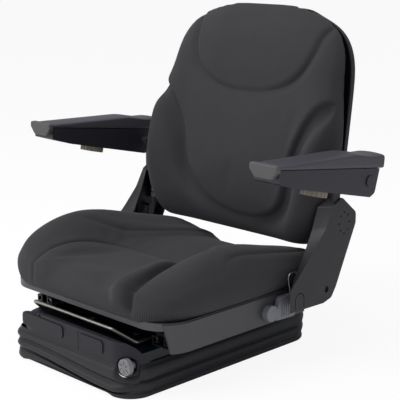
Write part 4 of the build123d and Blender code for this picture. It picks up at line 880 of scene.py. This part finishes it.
@dataclass
class Bellows:
    """The rubber bellows round the suspension: one wall with folds, its foot let up in
    a low arch in front, and its top edge following the knob's round pod.

    Attributes:
        half_x, half_y: half the outline's width and depth.
        corner: the radius of the outline's corners.
        sweep_mm: how far the folds in front come down towards the pod.
        fold_z: the height below which the wall is squeezed up into the arch.
        squeeze_z: the height above which it is squeezed down under the pod.
        tucked_mm: the wall's offset under the pod, inside the outline.
        front_profile, side_profile: offsets from the outline and heights.
    """

    half_x: float = 176.0
    half_y: float = 244.0
    corner: float = 50.0
    wall: float = 1.8
    low_z: float = 1.0
    high_z: float = 66.0
    sweep_mm: float = 14.0
    arch_half_width: float = 128.0
    arch_height: float = 12.0
    pod_x: float = 156.0
    pod_z: float = 60.5
    pod_radius: float = 21.0
    fold_z: float = 19.0
    squeeze_z: float = 27.0
    tucked_mm: float = -4.0
    around: int = 720
    across: int = 72
    front_profile: tuple = (
        (-5.5, 1), (-3.2, 4), (-3.0, 9), (-4.0, 14), (-8.5, 18.5), (-9.6, 20), (-8.5, 21.5),
        (-2.0, 26), (-0.6, 30), (-2.0, 34), (-7.5, 39), (-8.6, 41), (-7.5, 43), (-3.0, 47),
        (-2.0, 50.5), (-3.6, 55), (-8.0, 59), (-9.8, 62), (-10.0, 66),
    )
    side_profile: tuple = (
        (-5.5, 1), (-4.0, 3), (-4.6, 6), (-7.0, 8), (-7.4, 9), (-6.6, 10), (-3.4, 13),
        (-1.6, 19), (-1.6, 24), (-5.0, 28), (-7.6, 30), (-5.2, 32), (-1.0, 36), (-0.8, 44),
        (-3.0, 51), (-6.5, 55), (-9.5, 60),
    )

    def footprint(self) -> tuple[np.ndarray, np.ndarray]:
        """The outline seen from above and its outward directions: a rectangle with
        round corners, walked at an even pace.

        Returns:
            The outline's points and unit normals, one row each.
        """
        straight_x, straight_y = self.half_x - self.corner, self.half_y - self.corner
        quarter = self.corner * math.pi / 2
        sides = np.array([2 * straight_x, quarter, 2 * straight_y, quarter] * 2)
        starts = np.concatenate([[0], np.cumsum(sides)])
        walk = np.linspace(0, starts[-1], self.around, endpoint=False)
        leg = np.searchsorted(starts, walk, side="right") - 1
        t = (walk - starts[leg]) / sides[leg]
        heading = leg // 2 * math.pi / 2 + np.where(leg % 2 == 1, t * math.pi / 2, 0)
        normal = np.stack([np.sin(heading), -np.cos(heading)], axis=1)
        centres = np.array([[1, -1], [1, 1], [-1, 1], [-1, -1]]) * [straight_x, straight_y]
        turn = centres[leg // 2] + self.corner * normal
        before = centres[(leg // 2 - 1) % 4]
        line = before + (centres[leg // 2] - before) * t[:, None] + self.corner * normal
        return np.where((leg % 2 == 1)[:, None], turn, line), normal

    def section(self, profile: tuple) -> np.ndarray:
        """The wall cut through: the profile's curve, set off by half the wall to both
        sides and closed into a loop of offset and height.

        Args:
            profile: offsets outside the outline and heights, from the foot up.

        Returns:
            The loop's points, one row each.
        """
        curve = soft_curve(list(profile), 10)
        walk = np.concatenate([[0], np.cumsum(np.linalg.norm(np.diff(curve, axis=0), axis=1))])
        even = np.linspace(0, walk[-1], self.across // 2)
        curve = np.stack([np.interp(even, walk, curve[:, k]) for k in (0, 1)], axis=1)
        along = np.gradient(curve, axis=0)
        along /= np.linalg.norm(along, axis=1, keepdims=True)
        out = np.stack([along[:, 1], -along[:, 0]], axis=1) * self.wall / 2
        return np.vstack([curve + out, (curve - out)[::-1]])

    def build(self) -> bpy.types.Object:
        """Carries the section round the outline, changing from the front's profile to
        the side's by the square of the outline's turn. Heights below the first fold are
        squeezed up into the arch, which is a parabola, and heights above it down under
        the round pod. In front the folds sweep down towards the pod by a smooth step.

        Returns:
            The bellows.
        """
        outline, normal = self.footprint()
        facing = np.clip(np.abs(normal[:, 1]), 0, 1)[:, None, None] ** 2
        section = (facing * self.section(self.front_profile)[None]
                   + (1 - facing) * self.section(self.side_profile)[None])
        offset, height = section[..., 0], section[..., 1]
        x, front = outline[:, 0][:, None], outline[:, 1][:, None] < -self.half_y + 30
        reach = np.clip(1 - (x / self.arch_half_width) ** 2, 0, 1)
        arch = np.where(front, self.arch_height * reach, 0)
        share = np.clip((self.fold_z - height) / (self.fold_z - self.low_z), 0, 1)
        height = height + arch * share
        sweep = self.sweep_mm * smooth_step(x, -110, 110) * facing[..., 0]
        middle = smooth_step(height, 4, 24) * (1 - smooth_step(height, 42, 58))
        height = height - np.where(front, sweep, 0) * middle
        below_pod = self.pod_z - np.sqrt(np.clip(
            self.pod_radius ** 2 - (x - self.pod_x) ** 2, 0, None))
        top = np.where(front, np.minimum(below_pod, self.high_z), self.high_z)
        squeeze = (top - self.squeeze_z) / (self.high_z - self.squeeze_z)
        under = 1 - squeeze
        upper = np.clip((height - self.squeeze_z) / 6, 0, 1)
        height = np.where(height > self.squeeze_z,
                          self.squeeze_z + (height - self.squeeze_z) * squeeze, height)
        offset = offset + (self.tucked_mm - offset) * under * upper
        places = outline[:, None, :] + normal[:, None, :] * offset[..., None]
        points = np.concatenate([places, height[..., None]], axis=2).reshape(-1, 3)
        piece = make_mesh("bellows_skin", points,
                          ring_faces(self.around, section.shape[1])[:, ::-1])
        dress(piece, RUBBER)
        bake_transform(piece)
        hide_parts("bellows")
        LOG.info("bellows_skin: %d points", len(points))
        return piece


# Rigid pieces


@dataclass
class ReleaseWire:
    """The bent wire that links the recliner to the paddle, on the left of the seat."""

    radius: float = 1.6
    around: int = 12
    route: tuple = (
        (232.5, 125, 165), (232.5, 119, 169.5), (232.5, 110, 171.8), (232.5, 102, 170.3),
        (232.5, 98, 165), (232.5, 99.4, 154), (232.5, 102.6, 140), (232.5, 104.6, 124),
        (232.5, 106, 112),
    )

    def build(self) -> bpy.types.Object:
        """Carries a circle along the route: each ring stands square to the curve, and
        the two end rings are closed almost to a point.

        Returns:
            The wire, riding on the seat.
        """
        route = np.array(self.route, float)
        path = soft_curve([tuple(p) for p in route[:, 1:]], 8)
        centre = np.column_stack([np.full(len(path), route[0, 0]), path])
        along = np.gradient(path, axis=0)
        along /= np.linalg.norm(along, axis=1, keepdims=True)
        side = np.column_stack([np.zeros(len(path)), along[:, 1], -along[:, 0]])
        turn = np.linspace(0, 2 * math.pi, self.around, endpoint=False)
        taper = np.ones(len(path))
        taper[[0, -1]] = 0.02
        ring = (side[:, None, :] * np.cos(turn)[None, :, None]
                + np.array([1.0, 0, 0]) * np.sin(turn)[None, :, None])
        points = centre[:, None, :] + ring * (self.radius * taper)[:, None, None]
        faces = ring_faces(len(path), self.around)[: (len(path) - 1) * self.around]
        piece = make_mesh("release_wire", points.reshape(-1, 3), faces)
        dress(piece, ZINC)
        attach(piece, "seat")
        return piece


def dress_nodes(frame: dict) -> None:
    """Gives every CAD node the finish of its slot, or its own where it has one.
    """
    slots = {part["node"]: part["material_slot"] for part in frame["record"]["subparts"]}
    for name, node in frame["nodes"].items():
        dress(node, NODE_FINISHES.get(name, SLOT_FINISHES[slots[name]]))


# The studio


@dataclass
class Studio:
    """A pale floor, a white surround, soft lamps and the camera.

    Attributes:
        azimuth_deg: how far round to the seat's left the camera stands, from the front.
        pitch_deg: how far it looks down.
        lens_px, frame_px: the lens and the photograph's width, in its pixels.
        floor_glow: how much of the floor, seen by the camera, is plain white.
        aim_m: the height at which every lamp is aimed.
    """

    camera_mm: tuple = (1526.7, -1418.6, 772.2)
    azimuth_deg: float = 45.15
    pitch_deg: float = 13.07
    lens_px: float = 1129.5
    frame_px: float = 400.0
    sensor_mm: float = 36.0
    floor_colour: str = "#f6f6f6"
    floor_glow: float = 0.9
    floor_half_mm: float = 12000.0
    aim_m: float = 0.3

    def surround(self) -> None:
        """White for the camera and through glass; a plain level of light for everything
        else, mirrors included."""
        world = bpy.data.worlds.new("surround")
        bpy.context.scene.world = world
        world.use_nodes = True
        tree = world.node_tree
        tree.nodes.clear()
        path = add_node(tree, "ShaderNodeLightPath").outputs
        seen = add_node(tree, "ShaderNodeMath", {"operation": "MAXIMUM"},
                        {0: path["Is Camera Ray"], 1: path["Is Transmission Ray"]})
        level = add_node(tree, "ShaderNodeBackground", {"Color": (0.93, 0.95, 1.0, 1.0),
                                                        "Strength": 0.5})
        white = add_node(tree, "ShaderNodeBackground", {"Strength": 1.0,
                                                        "Color": (1.0, 1.0, 1.0, 1.0)})
        mixed = add_node(tree, "ShaderNodeMixShader", {},
                         {0: seen.outputs[0], 1: level.outputs[0], 2: white.outputs[0]})
        add_node(tree, "ShaderNodeOutputWorld", {}, {"Surface": mixed.outputs[0]})

    def floor(self) -> None:
        """A wide pale floor that keeps a soft shadow and is near white to the camera."""
        half = self.floor_half_mm
        corners = np.array([(-half, -half, 0), (half, -half, 0), (half, half, 0),
                            (-half, half, 0)])
        floor = make_mesh("floor", corners, np.array([[0, 1, 2, 3]]))
        made = bpy.data.materials.new("pale_floor")
        made.use_nodes = True
        tree = made.node_tree
        tree.nodes.clear()
        path = add_node(tree, "ShaderNodeLightPath").outputs
        paint = add_node(tree, "ShaderNodeBsdfDiffuse", {"Color": linear(self.floor_colour)})
        glow = add_node(tree, "ShaderNodeEmission", {"Strength": 1.0})
        share = add_node(tree, "ShaderNodeMath",
                         {"operation": "MULTIPLY", 1: self.floor_glow},
                         {0: path["Is Camera Ray"]})
        mixed = add_node(tree, "ShaderNodeMixShader", {},
                         {0: share.outputs[0], 1: paint.outputs[0], 2: glow.outputs[0]})
        add_node(tree, "ShaderNodeOutputMaterial", {}, {"Surface": mixed.outputs[0]})
        floor.data.materials.append(made)

    def lamp(self, name: str, place: tuple, size: float, power: float) -> None:
        """One square soft lamp that faces the seat, with its place and size in metres."""
        light = bpy.data.lights.new(name, "AREA")
        light.size = size
        light.energy = power
        lamp = bpy.data.objects.new(name, light)
        lamp.location = place
        lamp.rotation_mode = "QUATERNION"
        aim = Vector((0, 0, self.aim_m)) - Vector(place)
        lamp.rotation_quaternion = aim.to_track_quat("-Z", "Y")
        bpy.context.scene.collection.objects.link(lamp)

    def camera(self) -> None:
        """The photograph's camera, aimed along its azimuth and down by its pitch."""
        seen = bpy.data.cameras.new("camera")
        seen.sensor_width = self.sensor_mm
        seen.lens = self.lens_px / self.frame_px * self.sensor_mm
        seen.clip_start, seen.clip_end = 0.05, 60.0
        camera = bpy.data.objects.new("camera", seen)
        a, e = math.radians(self.azimuth_deg), math.radians(self.pitch_deg)
        ahead = Vector((-math.sin(a) * math.cos(e), math.cos(a) * math.cos(e), -math.sin(e)))
        camera.location = Vector(self.camera_mm) * MM
        camera.rotation_mode = "QUATERNION"
        camera.rotation_quaternion = ahead.to_track_quat("-Z", "Y")
        bpy.context.scene.collection.objects.link(camera)
        bpy.context.scene.camera = camera

    def build(self) -> None:
        """Sets up the surround, floor, lamps, camera and view."""
        self.surround()
        self.floor()
        self.lamp("overhead", (-0.3, -0.9, 2.6), 2.2, 52)
        self.lamp("front_left", (-1.6, -2.4, 1.3), 1.6, 26)
        self.lamp("right_fill", (2.6, -0.6, 1.0), 1.8, 8)
        self.camera()
        bpy.context.scene.view_settings.view_transform = "Standard"


def main() -> None:
    """Builds the dressed seat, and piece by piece."""
    logging.basicConfig(level=logging.INFO, format="%(message)s")
    for leftover in list(bpy.data.objects):
        bpy.data.objects.remove(leftover)
    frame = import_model()
    dress_nodes(frame)
    SeatCushion().build(frame)
    BackrestCushion().build(frame)
    for side in ("left", "right"):
        ArmPad(node=f"armrest_pad_{side}", name=f"arm_pad_{side}_skin",
               body=f"armrest_{side}").build(frame)
    Bellows().build()
    ReleaseWire().build()
    Studio().build()


if __name__ == "__main__":
    main()
